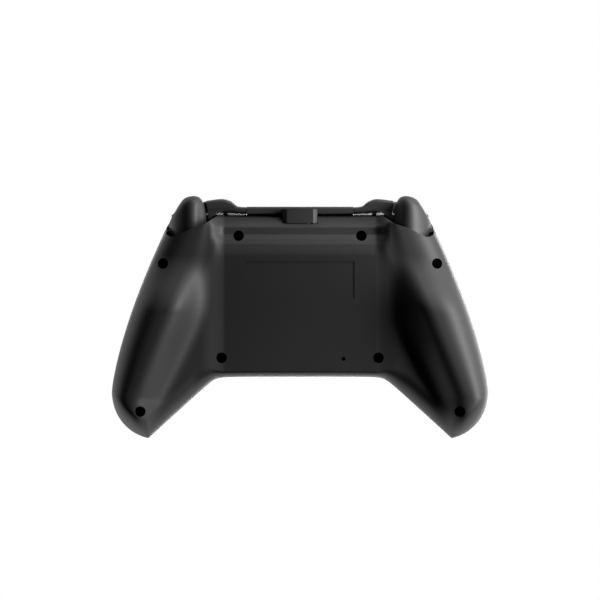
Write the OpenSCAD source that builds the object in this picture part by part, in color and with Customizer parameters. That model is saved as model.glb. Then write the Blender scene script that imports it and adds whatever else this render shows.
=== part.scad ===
// Wireless gamepad, lying face up: +Z out of the face, +Y towards the triggers, +X to the player's right.
// The origin is on the table, under the middle of the pad.

/* [Housing] */
// Overall width across the grips
body_w = 153.2; // [140:0.2:170]
// Distance from the pad's middle to the top edge of the shells
top_y = 41.7; // [40:0.1:44]
// Distance from the pad's middle to the bottom edge between the grips
bottom_y = 24.3; // [22:0.1:27]
// Distance from the pad's middle to the shoulder beside each trigger
shoulder_y = 35.7; // [34:0.1:37]
// How far each side draws in from the grip to the shoulder
side_in = 21.6; // [19:0.1:24]
// Radius of the rounded grip end, seen from behind
grip_r = 18.6; // [17:0.1:20]
// Distance from the pad's middle to the centre of the grip end
grip_end_y = 31; // [29:0.1:33]
// Height of the parting line above the table
seam_z = 28; // [26:0.5:31]
// How far the parting line bends down at the grip ends
grip_droop = 7; // [3:0.5:10]
// Height of the face above the parting line
face_h = 11; // [10:0.2:13]
// Wall thickness of both shells
wall = 2.2; // [1.8:0.1:2.6]
// Gap between the two shells at the parting line
seam_gap = 0.1; // [0.05:0.05:0.3]

/* [Back panel] */
// Half width of the recessed panel
panel_x = 30.7; // [28:0.1:32]
// Depth of the panel below the parting line
panel_d = 14.5; // [13.5:0.1:16]
// Rise from the panel's side to the foot of the grip
panel_rise = 0.9; // [0.4:0.1:1.5]
// Width of the slanted band along the top edge
band_w = 4.7; // [4:0.1:6]
// Width and height of the bare label recess
label_size = [44, 15]; // [10:1:60]
// Depth of the bare label recess
label_depth = 0.2; // [0.15:0.05:0.4]
// Radius of the reset pinhole
reset_hole_r = 0.8; // [0.6:0.1:1.2]
// Place of the reset pinhole
reset_at = [-17.6, -16.8]; // [-30:0.1:30]

/* [Screws] */
// Radius of the wells that the shell screws sit in
well_r = 2.15; // [1.9:0.05:2.5]
// Places of the wells beside the panel on one side, mirrored to the other
panel_wells = [[24.9, 33], [31.7, -16.4]]; // [-20:0.1:40]
// Places of the wells in the grip, measured in from its widest point
grip_wells = [[21.2, 21.7], [12.6, -37.7]]; // [-45:0.1:30]
// Radius of the shell screws' thread
screw_r = 1.1; // [0.9:0.05:1.4]

/* [Triggers] */
// Inner and outer side of the trigger, measured in from the shoulder
trigger_inset = [17, 1]; // [0.8:0.1:18]
// Reach of the trigger beyond the pad's middle
trigger_reach = 49.3; // [48:0.1:51]
// Height of the trigger's pivot above the parting line
trigger_pivot_z = 1; // [0.5:0.1:2]
// Distance of the trigger's pivot from the pad's middle
trigger_pivot_y = 36; // [35:0.1:36.5]
// Thickness of the trigger's finger plate
trigger_plate = 2.2; // [1.8:0.1:2.6]
// Radius of the trigger's pivot pin
trigger_pin_r = 1; // [0.8:0.05:1.3]
// Wire radius of the trigger's return spring
spring_wire_r = 0.22; // [0.18:0.02:0.26]
// Turns of the trigger's return spring
spring_turns = 2; // [1:1:2]

/* [Bumpers and bridge] */
// Half width of the bridge between the bumpers
bridge_x = 21.8; // [20:0.1:23]
// Reach of the bridge beyond the shells' top edge
bridge_rise = 3.3; // [3:0.1:4.2]
// Reach of the bumper's hump beyond the shells' top edge
bumper_rise = 6.6; // [5.6:0.1:7.2]
// Outer end of the bumper, measured in from the shoulder
bumper_inset = 2.4; // [2:0.1:5]
// Gap between bridge, bumper and shell
trim_gap = 0.3; // [0.2:0.05:0.5]
// Radius of the bumper's pivot pin
bumper_pin_r = 0.6; // [0.5:0.05:0.7]
// Press of the bumper at its outer end
bumper_press = 1; // [0.6:0.1:1.2]

/* [Sockets] */
// Half width of the port block
port_x = 7.1; // [6:0.1:8]
// Near and far side of the port block
port_y = [38.2, 43.8]; // [36:0.1:45]
// Depth of the port block's outer face below the parting line
port_d = 9.5; // [8.5:0.1:10.5]
// Opening of the port's metal shell
usb_slot = [8.34, 2.56]; // [2:0.01:9]
// Radius of the headset socket
jack_r = 1.8; // [1.76:0.01:1.85]
// Depth of the headset socket
jack_len = 13.7; // [12:0.1:15]

/* [Sticks] */
// Place of the left stick
left_stick_at = [-38, 18]; // [-45:0.5:45]
// Place of the right stick
right_stick_at = [19.5, -5]; // [-45:0.5:45]
// Height of the sticks' pivots above the parting line
stick_pivot_z = 4.2; // [4:0.1:4.6]
// Radius of the round cap under the thumb
stick_cap_r = 9; // [8:0.1:10]
// Height of the cap's top above the parting line
stick_top = 23; // [21:0.5:26]
// Radius of the dome that fills the opening round the stick
stick_dome_r = 10.4; // [9.8:0.1:10.8]
// Radius of the opening round the stick
stick_hole_r = 11.4; // [11:0.1:12.5]

/* [Buttons] */
// Centre of the four face buttons
face_at = [37, 18]; // [30:0.5:42]
// Distance of each face button from that centre
face_ring = 9.7; // [9:0.1:10.5]
// Radius of a face button
face_r = 5; // [4.5:0.1:5.4]
// Place of the home button
home_at = [0, 27]; // [-5:0.5:30]
// Radius of the home button
home_r = 5.2; // [4.5:0.1:6]
// Place of the menu button, mirrored for the view button
menu_at = [11.5, 16]; // [9:0.5:20]
// Radius of the menu and view buttons
menu_r = 3; // [2.5:0.1:3.4]
// Gap between a button and its opening
button_gap = 0.3; // [0.2:0.05:0.5]
// Place of the D-pad
dpad_at = [-19.5, -5]; // [-25:0.5:0]
// Half length and half width of the D-pad's arms
dpad_arm = [11.5, 4]; // [3:0.1:13]
// Gap between the D-pad and its opening
dpad_gap = 0.7; // [0.6:0.05:1]

/* [Inside] */
// Depth of the board's upper face below the parting line
board_d = 1; // [0.5:0.1:1.5]
// Thickness of the board
board_t = 1.6; // [1:0.1:2]
// Size of the battery pack
battery = [40, 30.5, 7.4]; // [5:0.1:50]
// Radius of a rumble motor's can
motor_r = 8; // [6:0.1:8.4]
// Length of a rumble motor's can
motor_len = 17; // [14:0.5:18]
// Radius of a rumble weight
weight_r = 7; // [5:0.1:7.4]

/* [Hidden] */
$fn = 48;
half_w = body_w/2;
tip_x = half_w - grip_r;
side_p = 1.46;
shoulder_x = half_w - side_in;
corner_x = shoulder_x - 15;
corner_p = 5.5;
inner_x = 34.4;
inner_slope = 0.915;
inner_k = 2.35;
rest_d = seam_z - seam_gap/2;
ridge_x = half_w - 19.6;
ridge_slope = 0.4;
crease_x = panel_x + 6;
crease_slope = 0.5;
crease_y = 0.9;
face_z = seam_z + face_h;
board_top = seam_z - board_d;
board_x = half_w - 26.6;
board_y = [-19, 30.5];
standoff_at = [[14, 27.5], [-14, 27.5], [36, -2], [-36, -2]];
board_screw_r = 1;
well_wall = 1.25;
well_floor = 3.2;
boss_r = 2.6;
boss_gap = 0.4;
label_top = 22.5;
well_at = concat(panel_wells, [for (p = grip_wells) [half_w - p[0], p[1]]]);
trigger_x = [shoulder_x - trigger_inset[0], shoulder_x - trigger_inset[1]];
window_edge = [for (p = [[-5.1, top_y], [0.1, 37.9], [5, 36.2], [13.2, 32.2], [14.8, 31.6], [16.4, 31.6]])
    [trigger_x[0] + p[0], p[1]]];
bridge_reach = top_y + bridge_rise;
bumper_reach = top_y + bumper_rise;
bumper_end = shoulder_x - bumper_inset;
pivot_z = seam_z + trigger_pivot_z;
hub_r = 3;
hub_x = [trigger_x[0] + 5, trigger_x[0] + 8.8];
nose_r = 1.8;
nose_x = hub_x[1] + 2.6;
ear_r = [2.8, 1.85];
ear_x = [[hub_x[0] - 2.2, hub_x[0] - 0.4], [nose_x + 0.4, nose_x + 2]];
function ear_top(x, r) = seam_z + min([for (s = [-1, 1]) face_height(x, trigger_pivot_y + s*r, 0)]) - wall/2;
bridge_d = 6;
eye_at = [19, 43.2];
eye_r = 1.2;
eye_z = [seam_z - 1.2, seam_z + 3.2];
nub_x = bridge_x + 8.7;
nub_z = seam_z + 4;
nub_r = 1;
nub_y = 38.3;
nub_travel = bumper_press*(nub_x - eye_at[0])/(bumper_end - eye_at[0]);
switch_y = nub_y - 1.6;
port_top = seam_z - 1.8;
usb_z = seam_z - 5.6;
usb_wall = 0.3;
usb_len = 7.4;
usb_half = usb_slot/2 + [usb_wall, usb_wall];
usb_front = port_y[1] - 0.2;
jack_z = seam_z - board_d - board_t - 2.6;
jack_nose_r = 2.9;
stick_z = seam_z + stick_pivot_z;
base_r = 8.1;
trunnion_r = 1.2;
cross_pin_r = 0.8;
shaft_r = 1.5;
dome_gap = 0.3;
dome_top = seam_z + 2.1;
dome_h = dome_top - board_top;
mat_t = 0.6;
face_button_at = [for (d = [[0, -1], [1, 0], [0, 1], [-1, 0]]) face_at + face_ring*d];
dpad_z = seam_z + 4;
dpad_proud = 2.4;
spider_r = 1;
battery_y = -8.5;
motor_at = [half_w - 22.8, -14.3];
motor_z = seam_z - 9.5;
motor_post_y = [motor_at[1] + 4, motor_at[1] + motor_len - 4];
motor_shaft_r = 1;

function ramp(d, k) = (d + sqrt(d*d + k*k))/2;
function mix(a, b, t) = a + (b - a)*t;
function smooth(a, b, v) = let (t = min(1, max(0, (v - a)/(b - a)))) t*t*(3 - 2*t);
// Rise of a quarter round of radius r at distance s from its edge
function round_edge(s, r) = s <= 0 ? 0 : s >= r ? 1 : sqrt(1 - pow(1 - s/r, 2));

// Plan outline of one half, drawn in by w: upper edge, lower edge and outer edge
function side_y(ax) = -grip_end_y
    + (shoulder_y + grip_end_y)*pow(max(0, half_w - ax)/side_in, 1/side_p);
function shoulder_top(ax) = top_y
    - (top_y - shoulder_y)*pow(max(0, ax - corner_x)/(shoulder_x - corner_x), corner_p);
function y_top(ax, w) = let (turn = smooth(corner_x, shoulder_x, ax))
    ax + w < shoulder_x
    ? min(shoulder_top(ax + w*turn) - w*(1 - 0.6*turn), top_y - w)
    : min(side_y(ax + w), shoulder_top(shoulder_x) - w*0.4);
function tip_arc(ax, w) = sqrt(max(0, pow(grip_r - w, 2) - pow(max(0, ax - tip_x), 2)));
function inner_line(ax, w) = -bottom_y - inner_slope*ramp(ax - inner_x, inner_k)
    + w*mix(1, sqrt(1 + inner_slope*inner_slope), smooth(inner_x - 4, inner_x + 6, ax));
function y_bottom(ax, w) = max(inner_line(ax, w), -grip_end_y - tip_arc(ax, w));
function x_side(y) = half_w - side_in*pow(max(0, y + grip_end_y)/(shoulder_y + grip_end_y), side_p);
// Distance in from the outer edge
function side_s(ax, y) = y > -grip_end_y
    ? x_side(y) - ax
    : grip_r - norm([max(0, ax - tip_x), y + grip_end_y]);

// Drop of the parting line towards the grip ends
function droop(y) = -grip_droop*pow(max(0, 5 - y)/(5 + grip_end_y + grip_r), 2);
// Lines along the grip: foot of its inner slope, and its ridge
function foot_x(y) = crease_x + crease_slope*ramp(crease_y - y, 6);
function crest_x(y) = min(ridge_x - ridge_slope*(y + 5), x_side(y) - 7, tip_x + 10);

// Back surface: depth below the parting line at a place, for a skin drawn in by w
function band(s) = lookup(s, [[0, 0], [0.4, 3.6], [0.8, 5], [band_w, 10.5], [band_w + 0.7, 10.9],
    [band_w + 3.5, 11.2], [band_w + 5.5, 12.6], [band_w + 7.6, 13.7], [band_w + 12, panel_d]])/panel_d;
function foot_edge(ax, y, w) = round_edge(y - y_bottom(ax, w), mix(2.6, 10, smooth(30, 44, ax)));
function back_depth(x, y, w) = let (
    ax = abs(x),
    s_top = y_top(ax, w) - y,
    s_side = side_s(ax, y) - w,
    crest = crest_x(y),
    level = panel_d + panel_rise*min(1, max(0, (ax - panel_x)/3.5)) - w,
    bulge = rest_d + droop(y) - panel_d - panel_rise,
    slope = smooth(foot_x(y), crest, ax),
    top = mix(band(s_top), round_edge(s_top, 4), smooth(panel_x, panel_x + 6, ax)),
    fade = 1 - 0.85*smooth(2, 25, y)
    ) round_edge(s_side, x_side(y) - crest - w)
      *foot_edge(ax, y, w)*(level*top + bulge*slope*fade*round_edge(s_top, 5));

// Face surface: height above the parting line
function face_height(x, y, w) = let (
    ax = abs(x),
    s_top = y_top(ax, w) - y,
    s_side = side_s(ax, y) - w,
    s_low = y - y_bottom(ax, w)
    ) (face_h - w)*round_edge(s_side, 13 - w)*round_edge(s_top, 6 - w)
      *round_edge(s_low, mix(6, 11, smooth(30, 45, ax)) - w);

// Stations across the pad, and steps from its top edge to its bottom edge
grip_steps = [0, 0.074, 0.148, 0.222, 0.296, 0.37, 0.444, 0.518, 0.592, 0.646, 0.69, 0.752, 0.814,
    0.863, 0.912, 0.949, 0.977, 0.991, 1];
station_half = concat([0, 8, 16, 22, 26, panel_x - 1.7, panel_x, panel_x + 1.6, panel_x + 3.5],
    [for (t = grip_steps) mix(panel_x + 6, half_w - 0.05, t)]);
station_n = len(station_half);
station_x = [for (i = [1 - station_n : station_n - 1]) sign(i)*station_half[abs(i)]];
back_steps = [0, 0.006, 0.012, 0.04, 0.071, 0.081, 0.124, 0.154, 0.186, 0.25, 0.33, 0.42, 0.52, 0.62,
    0.72, 0.82, 0.9, 0.95, 0.975, 0.99, 1];
face_steps = [0, 0.012, 0.035, 0.07, 0.13, 0.25, 0.4, 0.55, 0.7, 0.81, 0.9, 0.95, 0.985, 1];

// One skin of a shell: side -1 is the back, 1 the face
function skin(side, steps, w) = [for (x = station_x) let (
        xs = x*(half_w - w)/half_w,
        ax = abs(xs),
        hi = y_top(ax, w),
        lo = y_bottom(ax, w),
        last = abs(x) > station_x[len(station_x) - 1] - 0.01
        ) [for (t = steps) let (
            y = mix(hi, lo, t),
            rim = t == 0 || t == 1 || last,
            d = rim ? 0 : side < 0 ? back_depth(xs, y, w) : face_height(xs, y, w)
            ) [xs, y, seam_z + droop(y) + side*(max(d, 0) + seam_gap/2)]]];

// Closed shell between two skins, joined along the rim at the parting line
module two_skins(side, steps) {
    outer = skin(side, steps, 0);
    inner = skin(side, steps, wall);
    ni = len(outer);
    nj = len(steps);
    points = concat([for (row = outer) each row], [for (row = inner) each row]);
    function at(skin_no, i, j) = skin_no*ni*nj + i*nj + j;
    function cell(k, i, j) = [[at(k, i, j), at(k, i, j + 1), at(k, i + 1, j)],
        [at(k, i + 1, j), at(k, i, j + 1), at(k, i + 1, j + 1)]];
    cells_out = [for (i = [0 : ni - 2]) for (j = [0 : nj - 2]) each cell(0, i, j)];
    cells_in = [for (i = [0 : ni - 2]) for (j = [0 : nj - 2]) each cell(1, i, j)];
    loop = concat([for (i = [0 : ni - 2]) [i, 0]], [for (j = [0 : nj - 2]) [ni - 1, j]],
        [for (i = [ni - 1 : -1 : 1]) [i, nj - 1]], [for (j = [nj - 1 : -1 : 1]) [0, j]]);
    rim = [for (k = [0 : len(loop) - 1]) let (
        a = loop[k],
        b = loop[(k + 1) % len(loop)]
        ) each [[at(0, a[0], a[1]), at(0, b[0], b[1]), at(1, b[0], b[1])],
            [at(0, a[0], a[1]), at(1, b[0], b[1]), at(1, a[0], a[1])]]];
    function turned(f) = [for (t = f) [t[0], t[2], t[1]]];
    faces = side < 0
        ? concat(cells_out, turned(cells_in), rim)
        : concat(turned(cells_out), cells_in, turned(rim));
    polyhedron(points, faces, convexity = 10);
}

module both_sides() {
    children();
    mirror([1, 0, 0]) children();
}

// Closed plug of the space inside a skin, on a coarser grid, to trim what stands on that skin
module skin_plug(side, steps, w) {
    full = skin(side, steps, w);
    ni = floor(len(full)/2) + 1;
    nj = len(steps);
    rows = [for (i = [0 : ni - 1]) full[i*2]];
    points = [for (row = rows) each row];
    function at(i, j) = i*nj + j;
    cells = [for (i = [0 : ni - 2]) for (j = [0 : nj - 2]) each [[at(i, j), at(i, j + 1), at(i + 1, j)],
        [at(i + 1, j), at(i, j + 1), at(i + 1, j + 1)]]];
    lid = [for (i = [0 : ni - 2]) each [[at(i, 0), at(i + 1, 0), at(i + 1, nj - 1)],
        [at(i, 0), at(i + 1, nj - 1), at(i, nj - 1)]]];
    ends = [for (j = [0 : nj - 3]) each [[at(0, nj - 1), at(0, j + 1), at(0, j)],
        [at(ni - 1, j), at(ni - 1, j + 1), at(ni - 1, nj - 1)]]];
    polyhedron(points, concat(cells, lid, ends), convexity = 10);
}

// Round post from z low to z high
module post(at, r, low, high) {
    translate([at[0], at[1], low]) cylinder(r = r, h = high - low);
}

// Bar along X or Y through a point
module bar_x(at, r, x0, x1) {
    translate([x0, at[1], at[2]]) rotate([0, 90, 0]) cylinder(r = r, h = x1 - x0);
}

module bar_y(at, r, y0, y1) {
    translate([at[0], y0, at[2]]) rotate([-90, 0, 0]) cylinder(r = r, h = y1 - y0);
}

// Box between two corners
module block(a, b) {
    translate(a) cube(b - a);
}

// Slot outline with round ends
module oblong(size) {
    square([size[0] - size[1], size[1]], center = true);
    for (s = [-1, 1])
        translate([s*(size[0] - size[1])/2, 0]) circle(d = size[1]);
}

// Slanted opening that the trigger swings into
module trigger_window() {
    translate([0, 0, -1])
        linear_extrude(seam_z + 1.5)
            polygon([[window_edge[0][0], top_y + 20], each window_edge, [window_edge[5][0], top_y + 20]]);
}

// Heights of one shell screw: parting line, floor of its well, top of its boss
function well_seam(p) = seam_z + droop(p[1]);
function face_low(p, r) = min([for (a = [0 : 45 : 315]) face_height(p[0] + r*cos(a), p[1] + r*sin(a), 0)]);
function boss_top(p) = well_seam(p) + min(face_height(p[0], p[1], wall) + wall/2, face_low(p, boss_r) - 0.5);

module rear_shell() {
    color("#2a2a2b") difference() {
        union() {
            two_skins(-1, back_steps);
            intersection() {
                skin_plug(-1, back_steps, wall/2);
                union() {
                    both_sides() {
                        for (p = well_at)
                            post(p, well_r + well_wall, -1, well_seam(p) - boss_gap);
                        for (y = motor_post_y)
                            post([motor_at[0], y], 1.8, -1, motor_z - motor_r - 0.2);
                    }
                    post(reset_at, reset_hole_r + 1.1, -1, seam_z - board_d - board_t - 3.4);
                }
            }
        }
        both_sides() {
            trigger_window();
            for (p = well_at) {
                post(p, well_r, -2, well_seam(p) - well_floor);
                post(p, screw_r + 0.15, -2, well_seam(p) + 1);
            }
            // small hole in the shoulder beside the trigger
            bar_x([0, 34.6, seam_z - 4.5], 0.9, shoulder_x - 3.5, shoulder_x + 5);
        }
        post(reset_at, reset_hole_r, -2, seam_z);
        // pocket for the port block and its metal shell, and hole for the headset socket
        block([-port_x - 0.15, port_y[0] - 0.2, seam_z - port_d - 0.15],
            [port_x + 0.15, top_y + 5, seam_z + 1]);
        block([-usb_half[0] - 0.3, usb_front - usb_len - 0.3, usb_z - usb_half[1] - 0.3],
            [usb_half[0] + 0.3, port_y[0], seam_z + 1]);
        bar_y([0, 0, jack_z], jack_nose_r + 0.1, -bottom_y - 5, -bottom_y + wall + 1);
        // bare label recess
        block([-label_size[0]/2, label_top - label_size[1], seam_z - panel_d - 1],
            [label_size[0]/2, label_top, seam_z - panel_d + label_depth]);
    }
}

module cross_2d(gap) {
    square([2*(dpad_arm[0] + gap), 2*(dpad_arm[1] + gap)], center = true);
    square([2*(dpad_arm[1] + gap), 2*(dpad_arm[0] + gap)], center = true);
}

module front_shell() {
    under = face_z - wall;
    color("#2e2e30") difference() {
        union() {
            two_skins(1, face_steps);
            both_sides() {
                for (p = well_at)
                    post(p, boss_r, well_seam(p) + boss_gap/2, boss_top(p));
                for (i = [0, 1]) {
                    bar_x([0, trigger_pivot_y, pivot_z], ear_r[i], ear_x[i][0], ear_x[i][1]);
                    block([ear_x[i][0], trigger_pivot_y - ear_r[i], pivot_z],
                        [ear_x[i][1], trigger_pivot_y + ear_r[i], ear_top(ear_x[i][1], ear_r[i])]);
                }
            }
            for (p = standoff_at)
                post(p, 2.4, board_top, under + wall/2);
        }
        for (p = [left_stick_at, right_stick_at]) {
            post(p, stick_hole_r, seam_z + 1, face_z + 5);
            translate([p[0], p[1], face_z - 1.2]) cylinder(r1 = stick_hole_r, r2 = stick_hole_r + 2, h = 2);
        }
        for (p = face_button_at)
            post(p, face_r + button_gap, seam_z + 1, face_z + 5);
        post(home_at, home_r + button_gap, seam_z + 1, face_z + 5);
        both_sides() {
            post(menu_at, menu_r + button_gap, seam_z + 1, face_z + 5);
            for (p = well_at)
                post(p, screw_r + 0.03, seam_z - 20, boss_top(p) - 1);
            bar_x([0, trigger_pivot_y, pivot_z], trigger_pin_r + 0.02, ear_x[0][0] - 1, ear_x[1][1] - 0.6);
            bar_y([nub_x, 0, nub_z], nub_r + 0.5, top_y - wall - 3, top_y + 5);
        }
        for (p = standoff_at)
            post(p, board_screw_r + 0.03, seam_z - 5, under - 1);
        translate([dpad_at[0], dpad_at[1], seam_z + 1]) linear_extrude(face_h + 5) cross_2d(dpad_gap);
    }
}

// How far the face draws back from the shells' top edge at a height above the parting line
function over_edge(z) = 6*(1 - sqrt(1 - pow(min(0.95, max(0, z/face_h)), 2)));

// Bridge between the bumpers, with a pocket at each end for a bumper's eye
module top_bridge() {
    back = top_y + trim_gap;
    color("#38383a") difference() {
        rotate([90, 0, 90])
            translate([0, 0, -bridge_x])
                linear_extrude(2*bridge_x)
                    polygon([[back, seam_z - bridge_d], [bridge_reach - 1.2, seam_z - bridge_d],
                        [bridge_reach - 0.3, seam_z - bridge_d + 0.5],
                        [bridge_reach, seam_z - bridge_d + 1.5], [bridge_reach, seam_z + 4],
                        [bridge_reach - 0.6, seam_z + 6], [bridge_reach - 1.8, seam_z + 7.6],
                        each [for (z = [8.2, 7, 5.5, 4, 2.5, 1]) [back - over_edge(z), seam_z + z]]]);
        both_sides() {
            block([eye_at[0] - eye_r - 0.4, back - 1, eye_z[0] - trim_gap],
                [bridge_x + 1, eye_at[1] + eye_r + trim_gap, eye_z[1] + trim_gap]);
            post(eye_at, bumper_pin_r + 0.02, eye_z[0] - 1.8, eye_z[1] + 1.8);
        }
        block([-port_x - 0.15, back - 1, seam_z - bridge_d - 1],
            [port_x + 0.15, port_y[1] + 0.15, port_top + 0.15]);
    }
}

// Raised block round the charging port
module port_shroud() {
    edge = 1.6;
    low = seam_z - port_d;
    color("#3a3a3c") difference() {
        translate([0, port_y[1], 0])
            rotate([90, 0, 0])
                linear_extrude(port_y[1] - port_y[0])
                    polygon([[-port_x, port_top], [-port_x, low + edge], [-port_x + edge, low],
                        [port_x - edge, low], [port_x, low + edge], [port_x, port_top]]);
        translate([0, port_y[1] + 1, usb_z])
            rotate([90, 0, 0])
                linear_extrude(20) oblong(2*usb_half + [0.1, 0.1]);
    }
}

// Metal shell of the port, its back wall and its tongue
module usb_port() {
    color("silver") union() {
        difference() {
            translate([0, usb_front, usb_z])
                rotate([90, 0, 0]) linear_extrude(usb_len) oblong(2*usb_half);
            translate([0, usb_front + 1, usb_z])
                rotate([90, 0, 0]) linear_extrude(usb_len - 0.2) oblong(usb_slot);
        }
        block([-3.35, usb_front - usb_len + 0.5, usb_z - 0.35], [3.35, usb_front - 1, usb_z + 0.35]);
    }
}

// Headset socket: body under the board, round nose through the shell's lower edge
module headset_jack() {
    mouth = -bottom_y + 0.1;
    color("#202022") difference() {
        union() {
            block([-3.6, mouth + 2.6, jack_z - 2.6], [3.6, mouth + jack_len + 1, board_top - board_t]);
            bar_y([0, 0, jack_z], jack_nose_r, mouth, mouth + 3);
        }
        bar_y([0, 0, jack_z], jack_r, mouth - 1, mouth + jack_len);
    }
}

// Solid lofted through closed rings of the same number of points
module loft(rings) {
    n = len(rings);
    m = len(rings[0]);
    side = [for (i = [0 : n - 2]) for (j = [0 : m - 1]) let (k = (j + 1) % m) each [
        [i*m + j, (i + 1)*m + j, i*m + k],
        [i*m + k, (i + 1)*m + j, (i + 1)*m + k]]];
    // each end is closed by a strip between the two halves of its ring
    strip = [for (k = [0 : m/2 - 2]) each [[k, k + 1, m - 2 - k], [k, m - 2 - k, m - 1 - k]]];
    last = [for (t = strip) [for (k = [0, 2, 1]) (n - 1)*m + t[k]]];
    polyhedron([for (r = rings) each r], concat(side, strip, last), convexity = 6);
}

// Smooth curve through points, cut into steps
function spline_at(p, t) = let (
    i = min(floor(t), len(p) - 2),
    f = t - i,
    a = p[max(i - 1, 0)],
    b = p[i],
    c = p[i + 1],
    d = p[min(i + 2, len(p) - 1)]
    ) 0.5*(2*b + (c - a)*f + (2*a - 5*b + 4*c - d)*f*f + (3*b - a - 3*c + d)*f*f*f);
function spline(p, n) = [for (k = [0 : n]) spline_at(p, k*(len(p) - 1)/n)];

// Crest of the trigger's finger face as [y, height above the parting line], and the trigger's reach as
// [distance from its inner side, distance back from its tip]
finger_face = [[42.5, -1], [47.4, -3], [49.3, -7.2], [47.6, -11.6], [43.7, -15], [38.5, -16.9], [34.6, -16.2]];
finger_knee = 36.5;
finger_tuck = 1.6;
finger_n = 14;
finger_plan = [[0, 10.5], [0.3, 8.3], [0.9, 4.3], [1.5, 2.2], [2.5, 0.8], [4, 0.1], [5.5, 0], [7.5, 0.35],
    [9.6, 1.5], [11.5, 4], [13.5, 7.4], [15, 10.1], [16, 12.4]];
function finger_root(x) = lookup(x, window_edge) + 1;
// Share of the crest's depth at a station
function finger_fill(x) = 0.95*(0.45 + 0.55*round_edge(x - trigger_x[0], 6))
    *(0.2 + 0.8*pow(round_edge(trigger_x[1] - x, 11), 1.5));
// Depth of the arc about the pivot on which the finger face still slides under the window's edge
function finger_limit(x, y) = let (
    lip = lookup(x, window_edge),
    clear = 0.8 + 0.7*(1 - smooth(2, 4.5, x - trigger_x[0])),
    arc_r = norm([min(0, lip - trigger_pivot_y), back_depth(x, lip, wall) + trigger_pivot_z]) - clear
    ) sqrt(max(0.01, arc_r*arc_r - pow(y - trigger_pivot_y, 2))) - trigger_pivot_z + 1.5*max(0, y - lip - 5);
// One cross line of the finger face, and the same line drawn in by the plate's thickness
function finger_line(x, thick) = let (
    root_y = finger_root(x),
    root_low = mix(-5.6, -2.8, smooth(12, 16, x - trigger_x[0])),
    high = trigger_reach - lookup(x - trigger_x[0], finger_plan)
    ) [for (k = [0 : finger_n]) let (
        out = spline_at(finger_face, k*(len(finger_face) - 1)/finger_n),
        root = [root_y, mix(-1.15, root_low, k/finger_n)],
        lift = out[0] - finger_knee,
        y = root_y + lift*(lift > 0 ? (high - root_y)/(finger_face[2][0] - finger_knee)
            : (1 + finger_tuck)/(finger_knee - finger_face[6][0])),
        deep = max(mix(root[1], out[1], finger_fill(x)), -finger_limit(x, y)),
        face = [y, min(deep, root[1] - 0.4*k/finger_n)],
        share = min(0.85, thick/norm(face - root))
        ) mix(face, root, share)];
trigger_steps = [0.01, 0.02, 0.056, 0.094, 0.156, 0.25, 0.34, 0.47, 0.6, 0.72, 0.81, 0.88, 0.94, 0.975, 0.995];
trigger_stations = [for (t = trigger_steps) mix(trigger_x[0], trigger_x[1], t)];

module trigger() {
    rings = [for (x = trigger_stations) let (
        outer = finger_line(x, 0),
        inner = finger_line(x, trigger_plate)
        ) [for (p = concat(inner, [for (k = [finger_n : -1 : 0]) outer[k]])) [x, p[0], seam_z + p[1]]]];
    color("#3c3c3e") difference() {
        union() {
            loft(rings);
            bar_x([0, trigger_pivot_y, pivot_z], hub_r, hub_x[0], hub_x[1]);
            bar_x([0, trigger_pivot_y, pivot_z], nose_r, hub_x[0], nose_x);
            translate([hub_x[0], 0, seam_z])
                rotate([90, 0, 90])
                    linear_extrude(hub_x[1] - hub_x[0])
                        polygon([[trigger_pivot_y - 1.5, trigger_pivot_z + 1.6],
                            [trigger_pivot_y + 1.6, trigger_pivot_z + 1.6], [trigger_pivot_y + 3.2, -1.4],
                            [41, -3.4], [trigger_reach - 1.9, -6.5], [trigger_reach - 3.5, -10],
                            [42.2, -11.4], [38, -11.2], [35.8, -10.8], [trigger_pivot_y - 2.4, -3]]);
        }
        bar_x([0, trigger_pivot_y, pivot_z], trigger_pin_r + 0.05, hub_x[0] - 1, nose_x + 1);
    }
}

module right_trigger() {
    trigger();
}

module left_trigger() {
    mirror([1, 0, 0]) trigger();
}

module trigger_pins() {
    color("silver") both_sides()
        bar_x([0, trigger_pivot_y, pivot_z], trigger_pin_r, ear_x[0][0] + 0.1, ear_x[1][1] - 0.8);
}

// Torsion spring round the trigger's nose: one wire with its turns and two straight legs
coil_r = 2.3;
coil_sides = 6;
coil_turn_steps = 8;
function coil_path() = let (
    x0 = hub_x[1] + 0.45,
    x1 = nose_x - 0.35,
    n = spring_turns*coil_turn_steps,
    leg = 1
    ) concat([[x0, trigger_pivot_y + coil_r, pivot_z - leg]],
        [for (k = [0 : n]) let (a = 360*k/coil_turn_steps)
            [mix(x0, x1, k/n), trigger_pivot_y + coil_r*cos(a), pivot_z + coil_r*sin(a)]],
        [[x1, trigger_pivot_y + coil_r, pivot_z + leg]]);
function unit(v) = v/norm(v);
function tube_ring(path, i, r) = let (
    t = unit(path[min(i + 1, len(path) - 1)] - path[max(i - 1, 0)]),
    u = unit(cross(t, [1, 0.02, 0.03])),
    v = cross(t, u)
    ) [for (k = [0 : coil_sides - 1]) path[i] + r*(cos(360*k/coil_sides)*u + sin(360*k/coil_sides)*v)];

module trigger_spring() {
    path = coil_path();
    color("gainsboro") loft([for (i = [0 : len(path) - 1]) tube_ring(path, i, spring_wire_r)]);
}

module right_trigger_spring() {
    trigger_spring();
}

module left_trigger_spring() {
    mirror([1, 0, 0]) trigger_spring();
}

module trigger_sensors() {
    color("#111111") both_sides()
        block([hub_x[0], board_y[1] - 2.4, board_top], [hub_x[1], board_y[1] - 0.6, board_top + 5]);
}

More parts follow.
